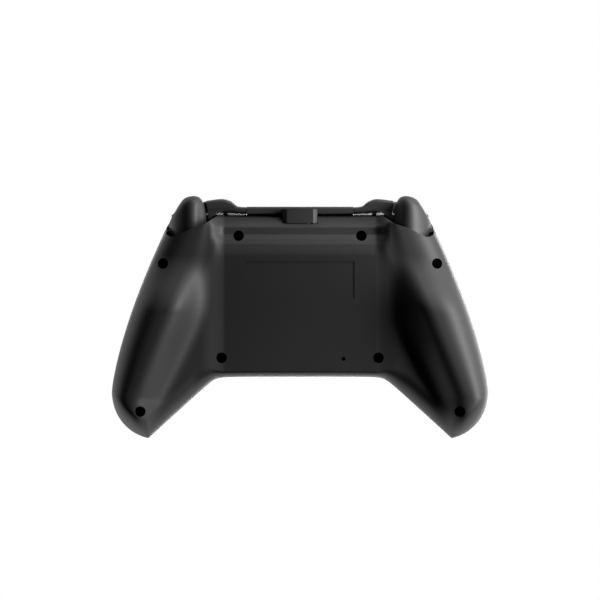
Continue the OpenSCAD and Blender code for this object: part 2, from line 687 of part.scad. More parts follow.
// Bumper: rounded bar behind the bridge's end, thin over the trigger, with its eye and its switch nub
bumper_from = bridge_x + trim_gap;
bumper_turn = trigger_x[0] - 0.5;
bumper_hump = concat([[0, bridge_reach], [0.22, bridge_reach + 0.4], [0.286, bridge_reach + 1.2]],
    [for (p = [[0.357, 1.2], [0.448, 0.55], [0.59, 0], [0.71, 0.1], [0.9, 0.6], [1.1, 1.2], [1.5, 2.6],
        [1.8, 4.8], [2, 7.4]]) [p[0], bumper_reach - p[1]]]);
// Share of the way from the bridge to the trigger, then from there to the bumper's end
function bumper_x(t) = t < 1 ? mix(bumper_from, bumper_turn, t) : mix(bumper_turn, bumper_end, t - 1);
function bumper_low(x) = y_top(x, 0) + trim_gap
    + 1.15*bumper_press*max(0, x - eye_at[0])/(bumper_end - eye_at[0]);
bumper_steps = [0, 0.12, 0.22, 0.286, 0.357, 0.448, 0.59, 0.71, 0.86, 0.96, 1, 1.1, 1.26, 1.43, 1.6, 1.76,
    1.9, 2];
bumper_turns = [12, 33, 57, 78, 102, 123, 147, 165, 176];
bumper_angles = concat(bumper_turns, [for (k = [len(bumper_turns) - 1 : -1 : 0]) 360 - bumper_turns[k]]);
function squircle(a, e) = [sign(cos(a))*pow(abs(cos(a)), e), sign(sin(a))*pow(abs(sin(a)), e)];

module bumper() {
    rings = [for (t = bumper_steps) let (
        x = bumper_x(t),
        lo = bumper_low(x),
        hi = max(lookup(t, bumper_hump), lo + 0.8),
        z0 = t < 0.98 ? -bridge_d : 0.9,
        z1 = mix(8, 4, max(0, t - 1))
        ) [for (a = bumper_angles) let (
            q = squircle(a, 0.5),
            z = (z0 + z1)/2 + q[1]*(z1 - z0)/2,
            near = lo - over_edge(z)
            ) [x, mix(near, hi, (q[0] + 1)/2), seam_z + z]]];
    corner = [for (p = [[-7, 43.5], [-4.9, 42.7], [-3.6, 42.2], [0, 39.55], [0, 44.5]]) p + [bumper_turn, 0]];
    color("#38383a") difference() {
        union() {
            loft(rings);
            block([eye_at[0], eye_at[1] - 0.8, eye_z[0]], [bumper_from + 3, eye_at[1] + eye_r, eye_z[1]]);
            // corner beside the trigger
            translate([0, 0, seam_z - bridge_d + 0.2]) linear_extrude(bridge_d - 0.6) polygon(corner);
            post(eye_at, eye_r, eye_z[0], eye_z[1]);
            bar_y([nub_x, 0, nub_z], nub_r, nub_y, top_y + 3);
        }
        post(eye_at, bumper_pin_r + 0.05, seam_z - 20, seam_z + 20);
    }
}

module right_bumper() {
    bumper();
}

module left_bumper() {
    mirror([1, 0, 0]) bumper();
}

module bumper_pins() {
    color("silver") both_sides() post(eye_at, bumper_pin_r, eye_z[0] - 1.6, eye_z[1] + 1.6);
}

// Side-push switches that the bumpers' nubs press
module bumper_switches() {
    color("#1c1c1e") both_sides() {
        block([nub_x - 2.6, switch_y - 3, board_top], [nub_x + 2.6, switch_y, nub_z + 1.6]);
        bar_y([nub_x, 0, nub_z], 0.8, switch_y - 0.5, nub_y - 0.1 - nub_travel);
    }
}

// Thumb stick: base on the board, yoke that tilts in it, pivot that tilts in the yoke, shaft and rubber cap
module stick_base(at) {
    color("#55585c") difference() {
        union() {
            post(at, base_r, board_top, stick_z + 2.2);
            block([at[0] - 11, at[1] - 4.5, board_top], [at[0] - base_r + 1, at[1] + 4.5, stick_z - 0.5]);
            block([at[0] - 4.5, at[1] - 11, board_top], [at[0] + 4.5, at[1] - base_r + 1, stick_z - 0.5]);
        }
        post(at, 6.7, board_top + 1, seam_z + 20);
        bar_x([0, at[1], stick_z], trunnion_r + 0.05, at[0] - base_r - 0.4, at[0] + base_r + 1);
    }
}

module stick_yoke(at) {
    color("#d8d8d4") difference() {
        union() {
            post(at, 5.5, stick_z - 1.3, stick_z + 1.3);
            bar_x([0, at[1], stick_z], trunnion_r, at[0] - base_r + 0.3, at[0] + base_r - 0.3);
        }
        post(at, 4.2, stick_z - 5, stick_z + 5);
        bar_y([at[0], 0, stick_z], cross_pin_r + 0.05, at[1] - 9, at[1] + 9);
    }
}

module stick_pivot(at) {
    color("#26282c") difference() {
        union() {
            post(at, 2.7, stick_z - 2, stick_z + 2);
            bar_y([at[0], 0, stick_z], cross_pin_r, at[1] - 5.2, at[1] + 5.2);
        }
        post(at, shaft_r + 0.05, stick_z - 9, stick_z + 9);
    }
}

module stick_shaft(at) {
    color("#e4e4e0") {
        post(at, shaft_r, stick_z - 2.8, stick_z + 3.2);
        post(at, shaft_r + 0.5, stick_z + 3.1, seam_z + stick_top - 6);
    }
}

module stick_cap(at) {
    r = stick_dome_r;
    top = stick_top - stick_pivot_z;
    color("#232325") translate([at[0], at[1], stick_z]) difference() {
        union() {
            // dome round the pivot, stem and concave thumb pad
            rotate_extrude() intersection() {
                difference() {
                    circle(r = r, $fn = 96);
                    circle(r = r - 1.4, $fn = 96);
                }
                translate([0, r*cos(62)]) square([r, r]);
            }
            rotate_extrude() polygon([[0, r - 0.7], [4.2, r - 1.6], [3.4, r + 1], [3.3, top - 6],
                [5.5, top - 4.6], [stick_cap_r - 0.7, top - 3.9], [stick_cap_r, top - 3.2],
                [stick_cap_r, top - 0.9], [stick_cap_r - 0.5, top - 0.2], [stick_cap_r - 1.2, top],
                [stick_cap_r - 2, top - 0.3], [stick_cap_r - 3, top - 0.9], [3, top - 1.5], [0, top - 1.6]]);
        }
        translate([0, 0, -1]) cylinder(r = shaft_r + 0.53, h = top - 5 + 1);
    }
}

module left_stick_base() {
    stick_base(left_stick_at);
}

module left_stick_yoke() {
    stick_yoke(left_stick_at);
}

module left_stick_pivot() {
    stick_pivot(left_stick_at);
}

module left_stick_shaft() {
    stick_shaft(left_stick_at);
}

module left_stick_cap() {
    stick_cap(left_stick_at);
}

module right_stick_base() {
    stick_base(right_stick_at);
}

module right_stick_yoke() {
    stick_yoke(right_stick_at);
}

module right_stick_pivot() {
    stick_pivot(right_stick_at);
}

module right_stick_shaft() {
    stick_shaft(right_stick_at);
}

module right_stick_cap() {
    stick_cap(right_stick_at);
}

// D-pad: post with two ears on the board, cross-shaped spider, and the cross that rocks on it
module dpad_post() {
    color("#55585c") translate([dpad_at[0], dpad_at[1], 0]) difference() {
        union() {
            post([0, 0], 5, board_top, board_top + 1);
            for (s = [0, 180])
                rotate([0, 0, s]) block([-1.8, 2.2, board_top], [1.8, 3.6, dpad_z + 1.4]);
        }
        bar_y([0, 0, dpad_z], spider_r + 0.05, -5, 5);
    }
}

module dpad_spider() {
    color("silver") translate([dpad_at[0], dpad_at[1], 0]) {
        bar_y([0, 0, dpad_z], spider_r, -3.5, 3.5);
        bar_x([0, 0, dpad_z], spider_r, -3.5, 3.5);
    }
}

module dpad_cross() {
    flange = dpad_z + 2.1;
    color("#232325") translate([dpad_at[0], dpad_at[1], 0]) difference() {
        union() {
            post([0, 0], dpad_arm[0] + 0.4, flange, flange + 0.7);
            translate([0, 0, flange]) linear_extrude(face_z + dpad_proud - flange) cross_2d(0);
            for (s = [0, 180])
                rotate([0, 0, s]) block([2.2, -1.8, dpad_z - 1.4], [3.6, 1.8, flange + 0.5]);
            for (a = [0 : 90 : 270])
                rotate([0, 0, a]) post([8.5, 0], 1.5, dome_top + dome_gap, flange + 0.5);
        }
        bar_x([0, 0, dpad_z], spider_r + 0.05, -5, 5);
        // shallow thumb dish in the middle of the cross
        translate([0, 0, face_z + dpad_proud + 17.4]) sphere(r = 18.2, $fn = 96);
        // sloped ends of the arms
        for (a = [0 : 90 : 270])
            rotate([0, 0, a]) translate([dpad_arm[0] - 1.6, -10, face_z + dpad_proud])
                rotate([0, 30, 0]) cube([6, 20, 4]);
    }
}

// Round button: stem over its rubber dome, flange under the face, domed cap
module round_button(at, r, proud, crown) {
    flange = face_z - wall - 0.6;
    top = face_z + proud;
    translate([at[0], at[1], 0]) rotate_extrude()
        polygon(concat([[0, dome_top + dome_gap], [2.2, dome_top + dome_gap], [2.2, flange - 1.6],
            [r + 0.9, flange - 1.6], [r + 0.9, flange], [r, flange]],
            [for (a = [0 : 15 : 90]) [r - 0.8 + 0.8*cos(a), top - crown - 0.8 + 0.8*sin(a)]],
            [[r*0.6, top - crown*0.36], [r*0.3, top - crown*0.09], [0, top]]));
}

module face_button_south() {
    color("#303033") round_button(face_button_at[0], face_r, 3.2, 0.8);
}

module face_button_east() {
    color("#303033") round_button(face_button_at[1], face_r, 3.2, 0.8);
}

module face_button_north() {
    color("#303033") round_button(face_button_at[2], face_r, 3.2, 0.8);
}

module face_button_west() {
    color("#303033") round_button(face_button_at[3], face_r, 3.2, 0.8);
}

module home_button() {
    color("#3a3a3c") round_button(home_at, home_r, 1.2, 0.5);
}

module menu_button() {
    color("#303033") round_button(menu_at, menu_r, 1.2, 0.4);
}

module view_button() {
    color("#303033") round_button([-menu_at[0], menu_at[1]], menu_r, 1.2, 0.4);
}

// Rubber mat with a dome under each button of a group
module dome_mat(places, bars) {
    color("#8a8d90") union() {
        translate([0, 0, board_top]) linear_extrude(mat_t) {
            for (p = places)
                translate(p) circle(r = 4.6);
            for (b = bars)
                translate(b[0]) square(b[1], center = true);
        }
        for (p = places)
            translate([p[0], p[1], board_top])
                rotate_extrude() polygon([[0, mat_t/2], [3.6, mat_t/2], [3.4, 1], [2.7, dome_h - 0.3],
                    [2.4, dome_h], [0, dome_h]]);
    }
}

module face_button_mat() {
    dome_mat(face_button_at, [[face_at, [2*face_ring, 3]], [face_at, [3, 2*face_ring]]]);
}

module menu_mat() {
    low = menu_at[1];
    dome_mat([home_at, menu_at, [-menu_at[0], low]],
        [[[0, low], [2*menu_at[0], 3]], [[0, (low + home_at[1])/2], [3, home_at[1] - low]]]);
}

// Four domes round the D-pad's post
module dpad_mat() {
    color("#8a8d90") translate([dpad_at[0], dpad_at[1], 0]) {
        translate([0, 0, board_top]) linear_extrude(mat_t) difference() {
            circle(r = 11.5);
            circle(r = 5.4);
        }
        for (a = [0 : 90 : 270])
            rotate([0, 0, a]) translate([8.5, 0, board_top])
                rotate_extrude() polygon([[0, mat_t/2], [2.8, mat_t/2], [2.6, 1], [2, dome_h - 0.3],
                    [1.8, dome_h], [0, dome_h]]);
    }
}

// Board, with a tab under each bumper's switch
module main_board() {
    tab = [nub_x - 3.2, nub_x + 3.2];
    half = [[0, board_y[1]], [tab[0], board_y[1]], [tab[0], switch_y + 0.5], [tab[1], switch_y + 0.5],
        [tab[1], board_y[1]], [board_x, board_y[1]], [board_x, 6], [36, board_y[0]]];
    color("#1f4a35") difference() {
        translate([0, 0, board_top - board_t]) linear_extrude(board_t) difference() {
            polygon(concat(half, [for (i = [len(half) - 1 : -1 : 1]) [-half[i][0], half[i][1]]]));
            for (p = well_at)
                for (s = [-1, 1])
                    translate([s*p[0], p[1]]) circle(r = well_r + well_wall + 0.5);
        }
        for (p = standoff_at)
            post(p, board_screw_r + 0.15, seam_z - 9, seam_z + 5);
    }
}

module board_screws() {
    under = board_top - board_t;
    color("silver") for (p = standoff_at) {
        post(p, board_screw_r, under - 0.5, face_z - wall - 1.6);
        post(p, 1.9, under - 1.2, under);
    }
}

module battery_pack() {
    floor_z = seam_z - panel_d + wall + 0.05;
    r = 1.5;
    color("#3d6fa5") translate([0, battery_y + battery[1]/2, floor_z]) linear_extrude(battery[2]) union() {
        square([battery[0] - 2*r, battery[1]], center = true);
        square([battery[0], battery[1] - 2*r], center = true);
        for (sx = [-1, 1])
            for (sy = [-1, 1])
                translate([sx*(battery[0]/2 - r), sy*(battery[1]/2 - r)]) circle(r = r);
    }
}

// Rumble motor can, with its end boss
module motor() {
    at = [motor_at[0], 0, motor_z];
    color("silver") difference() {
        union() {
            bar_y(at, motor_r, motor_at[1], motor_at[1] + motor_len);
            bar_y(at, 3, motor_at[1] + motor_len, motor_at[1] + motor_len + 1);
        }
        bar_y(at, motor_shaft_r + 0.05, motor_at[1] + motor_len - 5, motor_at[1] + motor_len + 3);
    }
}

// Half-round weight on the motor's shaft
module weight() {
    at = [motor_at[0], 0, motor_z];
    y0 = motor_at[1] + motor_len + 1.6;
    color("#8b8f94") {
        bar_y(at, motor_shaft_r, y0 - 5, y0 + 7.4);
        difference() {
            union() {
                difference() {
                    bar_y(at, weight_r, y0, y0 + 7);
                    block([at[0] - 20, y0 - 1, motor_z], [at[0] + 20, y0 + 8, motor_z + 20]);
                }
                bar_y(at, 2, y0, y0 + 7);
            }
            bar_y(at, motor_shaft_r - 0.02, y0 - 1, y0 + 8);
        }
    }
}

module right_motor() {
    motor();
}

module left_motor() {
    mirror([1, 0, 0]) motor();
}

module right_motor_weight() {
    weight();
}

module left_motor_weight() {
    mirror([1, 0, 0]) weight();
}

module reset_switch() {
    under = board_top - board_t;
    color("#1c1c1e") difference() {
        block([reset_at[0] - 2, reset_at[1] - 2, under - 1.6], [reset_at[0] + 2, reset_at[1] + 2, under]);
        post(reset_at, 0.8, under - 3, under - 0.6);
    }
}

module reset_plunger() {
    under = board_top - board_t;
    color("white") post(reset_at, 0.75, under - 2.4, under - 1);
}

// Shell screws, heads down in their wells
module shell_screws() {
    color("#3f4144") both_sides() for (p = well_at) {
        seat = well_seam(p) - well_floor;
        post(p, screw_r, seat - 0.5, min(seat + well_floor + 6, boss_top(p) - 1.3));
        difference() {
            post(p, well_r - 0.2, seat - 1.4, seat);
            post(p, 0.5, seat - 3, seat - 0.6);
        }
    }
}

rear_shell();
front_shell();
top_bridge();
port_shroud();
usb_port();
headset_jack();
main_board();
board_screws();
shell_screws();
battery_pack();
right_trigger();
left_trigger();
trigger_pins();
right_trigger_spring();
left_trigger_spring();
trigger_sensors();
right_bumper();
left_bumper();
bumper_pins();
bumper_switches();
left_stick_base();
left_stick_yoke();
left_stick_pivot();
left_stick_shaft();
left_stick_cap();
right_stick_base();
right_stick_yoke();
right_stick_pivot();
right_stick_shaft();
right_stick_cap();
dpad_post();
dpad_spider();
dpad_cross();
dpad_mat();
face_button_south();
face_button_east();
face_button_north();
face_button_west();
face_button_mat();
home_button();
menu_button();
view_button();
menu_mat();
right_motor();
left_motor();
right_motor_weight();
left_motor_weight();
reset_switch();
reset_plunger();
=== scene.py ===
import math
import bpy
import bmesh
import numpy as np
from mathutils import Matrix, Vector


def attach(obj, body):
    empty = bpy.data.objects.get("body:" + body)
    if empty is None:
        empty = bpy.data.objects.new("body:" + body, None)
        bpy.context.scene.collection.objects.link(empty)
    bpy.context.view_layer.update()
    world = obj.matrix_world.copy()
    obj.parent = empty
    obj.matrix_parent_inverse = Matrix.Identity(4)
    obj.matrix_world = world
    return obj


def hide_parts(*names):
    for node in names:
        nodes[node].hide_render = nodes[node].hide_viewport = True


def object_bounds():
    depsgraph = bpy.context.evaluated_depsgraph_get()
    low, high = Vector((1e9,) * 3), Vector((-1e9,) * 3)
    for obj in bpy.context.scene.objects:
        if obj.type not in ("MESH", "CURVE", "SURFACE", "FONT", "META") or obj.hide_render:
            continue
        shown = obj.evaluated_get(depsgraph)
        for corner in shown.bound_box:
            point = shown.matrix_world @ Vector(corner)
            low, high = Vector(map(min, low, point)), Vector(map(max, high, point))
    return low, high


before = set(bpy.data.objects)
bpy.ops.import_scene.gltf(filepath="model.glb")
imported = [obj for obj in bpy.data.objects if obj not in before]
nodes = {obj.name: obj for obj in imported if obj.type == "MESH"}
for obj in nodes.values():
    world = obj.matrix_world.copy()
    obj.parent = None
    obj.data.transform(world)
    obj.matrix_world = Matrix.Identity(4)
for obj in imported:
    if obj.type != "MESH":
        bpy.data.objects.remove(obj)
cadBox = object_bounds()
scene = bpy.context.scene
scene.view_settings.view_transform = "Standard"
mm = 0.001
slack = 1e-6  # for numbers that should be equal, and for what must not be zero
print("frame loaded:", len(nodes), "nodes")


# camera: straight at the back of the pad, which lies face up, so it looks up from below
shot = dict(distance=1.2, clip=(0.01, 50),  # metres
            pixel=0.4091, halfFrame=300, midRow=317,  # mm in a pixel, and pixels to the frame's and the pad's middle
            aimZ=28)  # mm, at the parting line
camera = bpy.data.objects.new("camera", bpy.data.cameras.new("camera"))
scene.collection.objects.link(camera)
camera.location = (0, (shot["midRow"] - shot["halfFrame"])*shot["pixel"]*mm, shot["aimZ"]*mm - shot["distance"])
camera.rotation_euler = (0, math.pi, 0)
camera.data.sensor_fit = "HORIZONTAL"
camera.data.angle = 2*math.atan(shot["halfFrame"]*shot["pixel"]*mm/shot["distance"])
camera.data.clip_start, camera.data.clip_end = shot["clip"]
scene.camera = camera
print("camera set")


def linear(hexColour):  # sRGB hex to linear rgba
    rgb = [int(hexColour[i:i + 2], 16)/255 for i in (1, 3, 5)]
    return [c/12.92 if c <= 0.04045 else ((c + 0.055)/1.055)**2.4 for c in rgb] + [1]


def addNode(tree, kind, links=(), **settings):  # node with its settings, and links as (from socket, to input)
    node = tree.nodes.new(kind)
    for name, value in settings.items():
        if name.startswith("in_"):
            key = name[3:]
            node.inputs[int(key) if key.isdigit() else key.replace("_", " ")].default_value = value
        else:
            setattr(node, name, value)
    for source, target in links:
        tree.links.new(source, node.inputs[target])
    return node


def newMaterial(name):
    material = bpy.data.materials.new(name)
    material.use_nodes = True
    tree = material.node_tree
    tree.nodes.clear()
    return material, tree


# world: white studio all round, dim on the side under the pad where the camera stands
def makeWorld():
    studio = dict(lowZ=-0.2, highZ=0.3,  # directions between which it goes from dim to white
                  under=0.01, fill=0.05)  # light from below, and the share that lights the pad
    world = bpy.data.worlds.new("studio")
    scene.world = world
    world.use_nodes = True
    tree = world.node_tree
    tree.nodes.clear()
    coord = addNode(tree, "ShaderNodeTexCoord")
    xyz = addNode(tree, "ShaderNodeSeparateXYZ", [(coord.outputs["Generated"], 0)])
    rise = addNode(tree, "ShaderNodeMapRange", [(xyz.outputs["Z"], "Value")], interpolation_type="SMOOTHSTEP",
                   in_From_Min=studio["lowZ"], in_From_Max=studio["highZ"], in_To_Min=studio["under"], in_To_Max=1.0)
    path = addNode(tree, "ShaderNodeLightPath")
    seen = addNode(tree, "ShaderNodeMath", [(path.outputs["Is Camera Ray"], 0), (path.outputs["Is Glossy Ray"], 1)],
                   operation="MAXIMUM")
    seenAll = addNode(tree, "ShaderNodeMath", [(seen.outputs[0], 0), (path.outputs["Is Transmission Ray"], 1)],
                      operation="MAXIMUM")
    level = addNode(tree, "ShaderNodeMapRange", [(seenAll.outputs[0], "Value")],
                    in_To_Min=studio["fill"], in_To_Max=1.0)
    strength = addNode(tree, "ShaderNodeMath", [(rise.outputs[0], 0), (level.outputs[0], 1)], operation="MULTIPLY")
    behind = addNode(tree, "ShaderNodeMath", [(strength.outputs[0], 0), (path.outputs["Is Camera Ray"], 1)],
                     operation="MAXIMUM")  # plain white behind the pad
    shade = addNode(tree, "ShaderNodeBackground", [(behind.outputs[0], "Strength")], in_Color=(1, 1, 1, 1))
    addNode(tree, "ShaderNodeOutputWorld", [(shade.outputs[0], "Surface")])


# floor: pale paper from above that fades out with distance; from below the camera sees through it
def makeFloor():
    ground = dict(half=2.5, gap=0.0002, fadeFrom=0.12, fadeTo=0.7, colour="#f0f0f0")  # metres
    half = ground["half"]
    mesh = bpy.data.meshes.new("floor")
    mesh.from_pydata([(-half, -half, 0), (half, -half, 0), (half, half, 0), (-half, half, 0)], [], [(0, 1, 2, 3)])
    floor = bpy.data.objects.new("floor", mesh)
    scene.collection.objects.link(floor)
    floor.location.z = cadBox[0][2] - ground["gap"]
    material, tree = newMaterial("floorPaper")
    paper = addNode(tree, "ShaderNodeBsdfDiffuse", in_Color=linear(ground["colour"]))
    clear = addNode(tree, "ShaderNodeBsdfTransparent")
    face = addNode(tree, "ShaderNodeNewGeometry")
    away = addNode(tree, "ShaderNodeVectorMath", [(face.outputs["Position"], 0)], operation="LENGTH")
    far = addNode(tree, "ShaderNodeMapRange", [(away.outputs["Value"], "Value")], interpolation_type="SMOOTHSTEP",
                  in_From_Min=ground["fadeFrom"], in_From_Max=ground["fadeTo"])
    sweep = addNode(tree, "ShaderNodeMixShader", [(far.outputs[0], 0), (paper.outputs[0], 1), (clear.outputs[0], 2)])
    mixed = addNode(tree, "ShaderNodeMixShader",
                    [(face.outputs["Backfacing"], 0), (sweep.outputs[0], 1), (clear.outputs[0], 2)])
    addNode(tree, "ShaderNodeOutputMaterial", [(mixed.outputs[0], "Surface")])
    mesh.materials.append(material)
    floor.visible_shadow = False  # holds no light back
    floor.visible_diffuse = False
    floor.visible_glossy = False
    floor.visible_transmission = False


lampAim = (0, 0, 0.02)
lamps = dict(  # metres and watts
    keyBack=dict(at=(-0.24, 0.06, -0.09), size=(0.26, 0.13), watts=1.1),  # beside the pad, on the side of its back
    topBack=dict(at=(-0.2, 0.45, -0.10), size=(0.3, 0.2), watts=1.0),  # beyond the triggers
    keyFace=dict(at=(-0.15, 0.1, 0.9), size=(0.7, 0.7), watts=9))  # over the face


def addLamp(name, at, size, watts):
    lamp = bpy.data.objects.new(name, bpy.data.lights.new(name, "AREA"))
    scene.collection.objects.link(lamp)
    lamp.location = at
    lamp.rotation_euler = (Vector(lampAim) - Vector(at)).to_track_quat("-Z", "Y").to_euler()
    lamp.data.shape = "RECTANGLE"
    lamp.data.size, lamp.data.size_y = size
    lamp.data.energy = watts


makeWorld()
makeFloor()
for name, lamp in lamps.items():
    addLamp(name, **lamp)
print("stage and lamps set")


# housing: one loft per shell, after the moulded outline and the depth at each place; sizes in mm
housing = dict(
    halfW=76.6, topY=41.7, bottomY=24.3, shoulderY=35.7, sideIn=21.6, sideP=1.46,  # outline and its bowed sides
    cornerW=15, cornerP=5.5, cornerIn=0.6,  # shoulders, and how much less the wall draws in there
    gripR=18.6, gripEndY=31, innerX=34.4, innerSlope=0.915, innerK=2.35, innerTurn=(-4, 6),  # grips
    seamZ=28, seamGap=0.1, droop=7, droopY=5, wall=2.2,  # parting line, which dips towards the grip ends
    panelX=30.7, panelD=14.5, panelRise=0.9, riseFrom=-0.4, riseW=(9, 4.2), riseY=(16, 30),  # back panel and its rim
    bandW=4.7, bandR=4, bandBlend=6,  # sloped band under the top edge
    creaseIn=4.5, creaseSlope=0.5, creaseY=0.9, creaseK=6,  # foot of each grip's inner slope
    ridgeX=57, ridgeSlope=0.4, ridgeY=-5, ridgeIn=7, ridgeOut=10, ridgeR=5,  # ridge along each grip
    fade=0.93, fadeY=(2, 25), slopeBlend=0.5, sideBow=2.7, lowR=(2.6, 10), lowX=(30, 44),  # how it runs out
    faceH=11, faceSideR=13, faceTopR=6, faceLowR=(6, 11), faceLowX=(30, 45),  # face side
    columns=331, rows=170, crowd=1.25, rimGap=0.05, panelLines=[-0.4, 0.4, 1.2, 2, 2.8, 3.5, 4.2])  # mesh
hs = housing
tipX = hs["halfW"] - hs["gripR"]
shoulderX = hs["halfW"] - hs["sideIn"]
cornerX = shoulderX - hs["cornerW"]
creaseX = hs["panelX"] + hs["creaseIn"]
restD = hs["seamZ"] - hs["seamGap"]/2
wells = [(24.9, 33), (31.7, -16.4), (55.4, 21.7), (64, -37.7)]  # screw wells of one side
resetAt = (-17.6, -16.8)
windowEdge = [(32.9, 41.7), (38.1, 37.9), (43, 36.2), (51.2, 32.4), (52.8, 32.6), (54.4, 33.8)]  # over the trigger
quarterTurns = [(1, 0), (0, 1), (-1, 0), (0, -1)]


def mix(a, b, t):
    return a + (b - a)*t


def ramp(d, k):  # zero below, then as d, rounded by k where it starts
    return (d + np.sqrt(d*d + k*k))/2


def smooth(a, b, v):
    t = np.clip((v - a)/(b - a), 0, 1)
    return t*t*(3 - 2*t)


def roundEdge(s, r):  # quarter round of radius r, as a share of its height
    return np.sqrt(np.clip(1 - (1 - np.clip(s/r, 0, 1))**2, 0, 1))


def shoulderTop(ax):
    rise = (np.maximum(0, ax - cornerX)/hs["cornerW"])**hs["cornerP"]
    return hs["topY"] - (hs["topY"] - hs["shoulderY"])*rise


def sideY(ax):
    reach = (np.maximum(0, hs["halfW"] - ax)/hs["sideIn"])**(1/hs["sideP"])
    return -hs["gripEndY"] + (hs["shoulderY"] + hs["gripEndY"])*reach


def yTop(ax, w):  # upper edge, drawn in by w
    turn = smooth(cornerX, shoulderX, ax)
    inner = np.minimum(shoulderTop(ax + w*turn) - w*(1 - hs["cornerIn"]*turn), hs["topY"] - w)
    outer = np.minimum(sideY(ax + w), hs["shoulderY"] - w*(1 - hs["cornerIn"]))
    return np.where(ax + w < shoulderX, inner, outer)


def yBottom(ax, w):  # lower edge, drawn in by w
    x0, slope = hs["innerX"], hs["innerSlope"]
    before, after = hs["innerTurn"]
    line = (-hs["bottomY"] - slope*ramp(ax - x0, hs["innerK"])
            + w*mix(1, math.hypot(1, slope), smooth(x0 + before, x0 + after, ax)))
    arc = np.sqrt(np.maximum(0, (hs["gripR"] - w)**2 - np.maximum(0, ax - tipX)**2))
    return np.maximum(line, -hs["gripEndY"] - arc)


def xSide(y):
    reach = np.maximum(0, y + hs["gripEndY"])/(hs["shoulderY"] + hs["gripEndY"])
    return hs["halfW"] - hs["sideIn"]*reach**hs["sideP"]


def sideS(ax, y):  # distance in from the outer edge
    end = hs["gripR"] - np.hypot(np.maximum(0, ax - tipX), y + hs["gripEndY"])
    return np.where(y > -hs["gripEndY"], xSide(y) - ax, end)


def seamDrop(y):
    return -hs["droop"]*(np.maximum(0, hs["droopY"] - y)/(hs["droopY"] + hs["gripEndY"] + hs["gripR"]))**2


def footX(y):
    return creaseX + hs["creaseSlope"]*ramp(hs["creaseY"] - y, hs["creaseK"])


def crestX(y):
    ridge = hs["ridgeX"] - hs["ridgeSlope"]*(y - hs["ridgeY"])
    return np.minimum(np.minimum(ridge, xSide(y) - hs["ridgeIn"]), tipX + hs["ridgeOut"])


bandSteps = [0, 0.4, 0.8] + [hs["bandW"] + d for d in (0, 0.7, 3.5, 5.5, 7.6, 12)]  # in from the top edge
bandDepth = [0, 3.6, 5, 10.5, 10.9, 11.2, 12.6, 13.7, hs["panelD"]]  # how deep the back is there


def backDepth(x, y, w):  # depth of the back behind the parting line, for a skin drawn in by w
    ax = np.abs(x)
    top = yTop(ax, w) - y
    side = sideS(ax, y) - w
    low = y - yBottom(ax, w)
    crest = crestX(y)
    rise = smooth(hs["panelX"] + hs["riseFrom"], hs["panelX"] + mix(*hs["riseW"], smooth(*hs["riseY"], y)), ax)
    level = hs["panelD"] + hs["panelRise"]*rise - w
    bulge = restD + seamDrop(y) - hs["panelD"] - hs["panelRise"]
    slope = smooth(footX(y), crest, ax)
    slope = mix(slope, smooth(0, 1, slope), hs["slopeBlend"])
    band = np.interp(top, bandSteps, bandDepth)/hs["panelD"]
    topRise = mix(band, roundEdge(top, hs["bandR"]), smooth(hs["panelX"], hs["panelX"] + hs["bandBlend"], ax))
    fade = 1 - hs["fade"]*smooth(*hs["fadeY"], y)
    lowRise = roundEdge(low, mix(*hs["lowR"], smooth(*hs["lowX"], ax)))
    bow = hs["sideBow"]
    sideRise = (1 - (1 - np.clip(side/(xSide(y) - crest - w), 0, 1))**bow)**(1/bow)
    return sideRise*lowRise*(level*topRise + bulge*slope*fade*roundEdge(top, hs["ridgeR"]))


def faceHeight(x, y, w):  # height of the face above the parting line
    ax = np.abs(x)
    lowR = mix(*hs["faceLowR"], smooth(*hs["faceLowX"], ax)) - w
    return ((hs["faceH"] - w)*roundEdge(sideS(ax, y) - w, hs["faceSideR"] - w)
            * roundEdge(yTop(ax, w) - y, hs["faceTopR"] - w)*roundEdge(y - yBottom(ax, w), lowR))


def overEdge(z):  # how far the face draws back from the top edge at a height above the parting line
    return hs["faceTopR"]*(1 - np.sqrt(1 - np.clip(z/hs["faceH"], 0, 0.95)**2))


def wellSeam(p):  # height of the parting line over a screw well
    return hs["seamZ"] + float(seamDrop(np.array(p[1])))


def softShade(piece, angle):
    piece.data.polygons.foreach_set("use_smooth", [True]*len(piece.data.polygons))
    piece.data.set_sharp_from_angle(angle=math.radians(angle))


def addMesh(name, points, faces, smoothAngle=35):
    mesh = bpy.data.meshes.new(name)
    mesh.from_pydata([tuple(p) for p in points], [], [tuple(f) for f in faces])
    mesh.validate()
    piece = bpy.data.objects.new(name, mesh)
    scene.collection.objects.link(piece)
    work = bmesh.new()
    work.from_mesh(mesh)
    bmesh.ops.recalc_face_normals(work, faces=work.faces)
    work.to_mesh(mesh)
    work.free()
    softShade(piece, smoothAngle)
    return piece


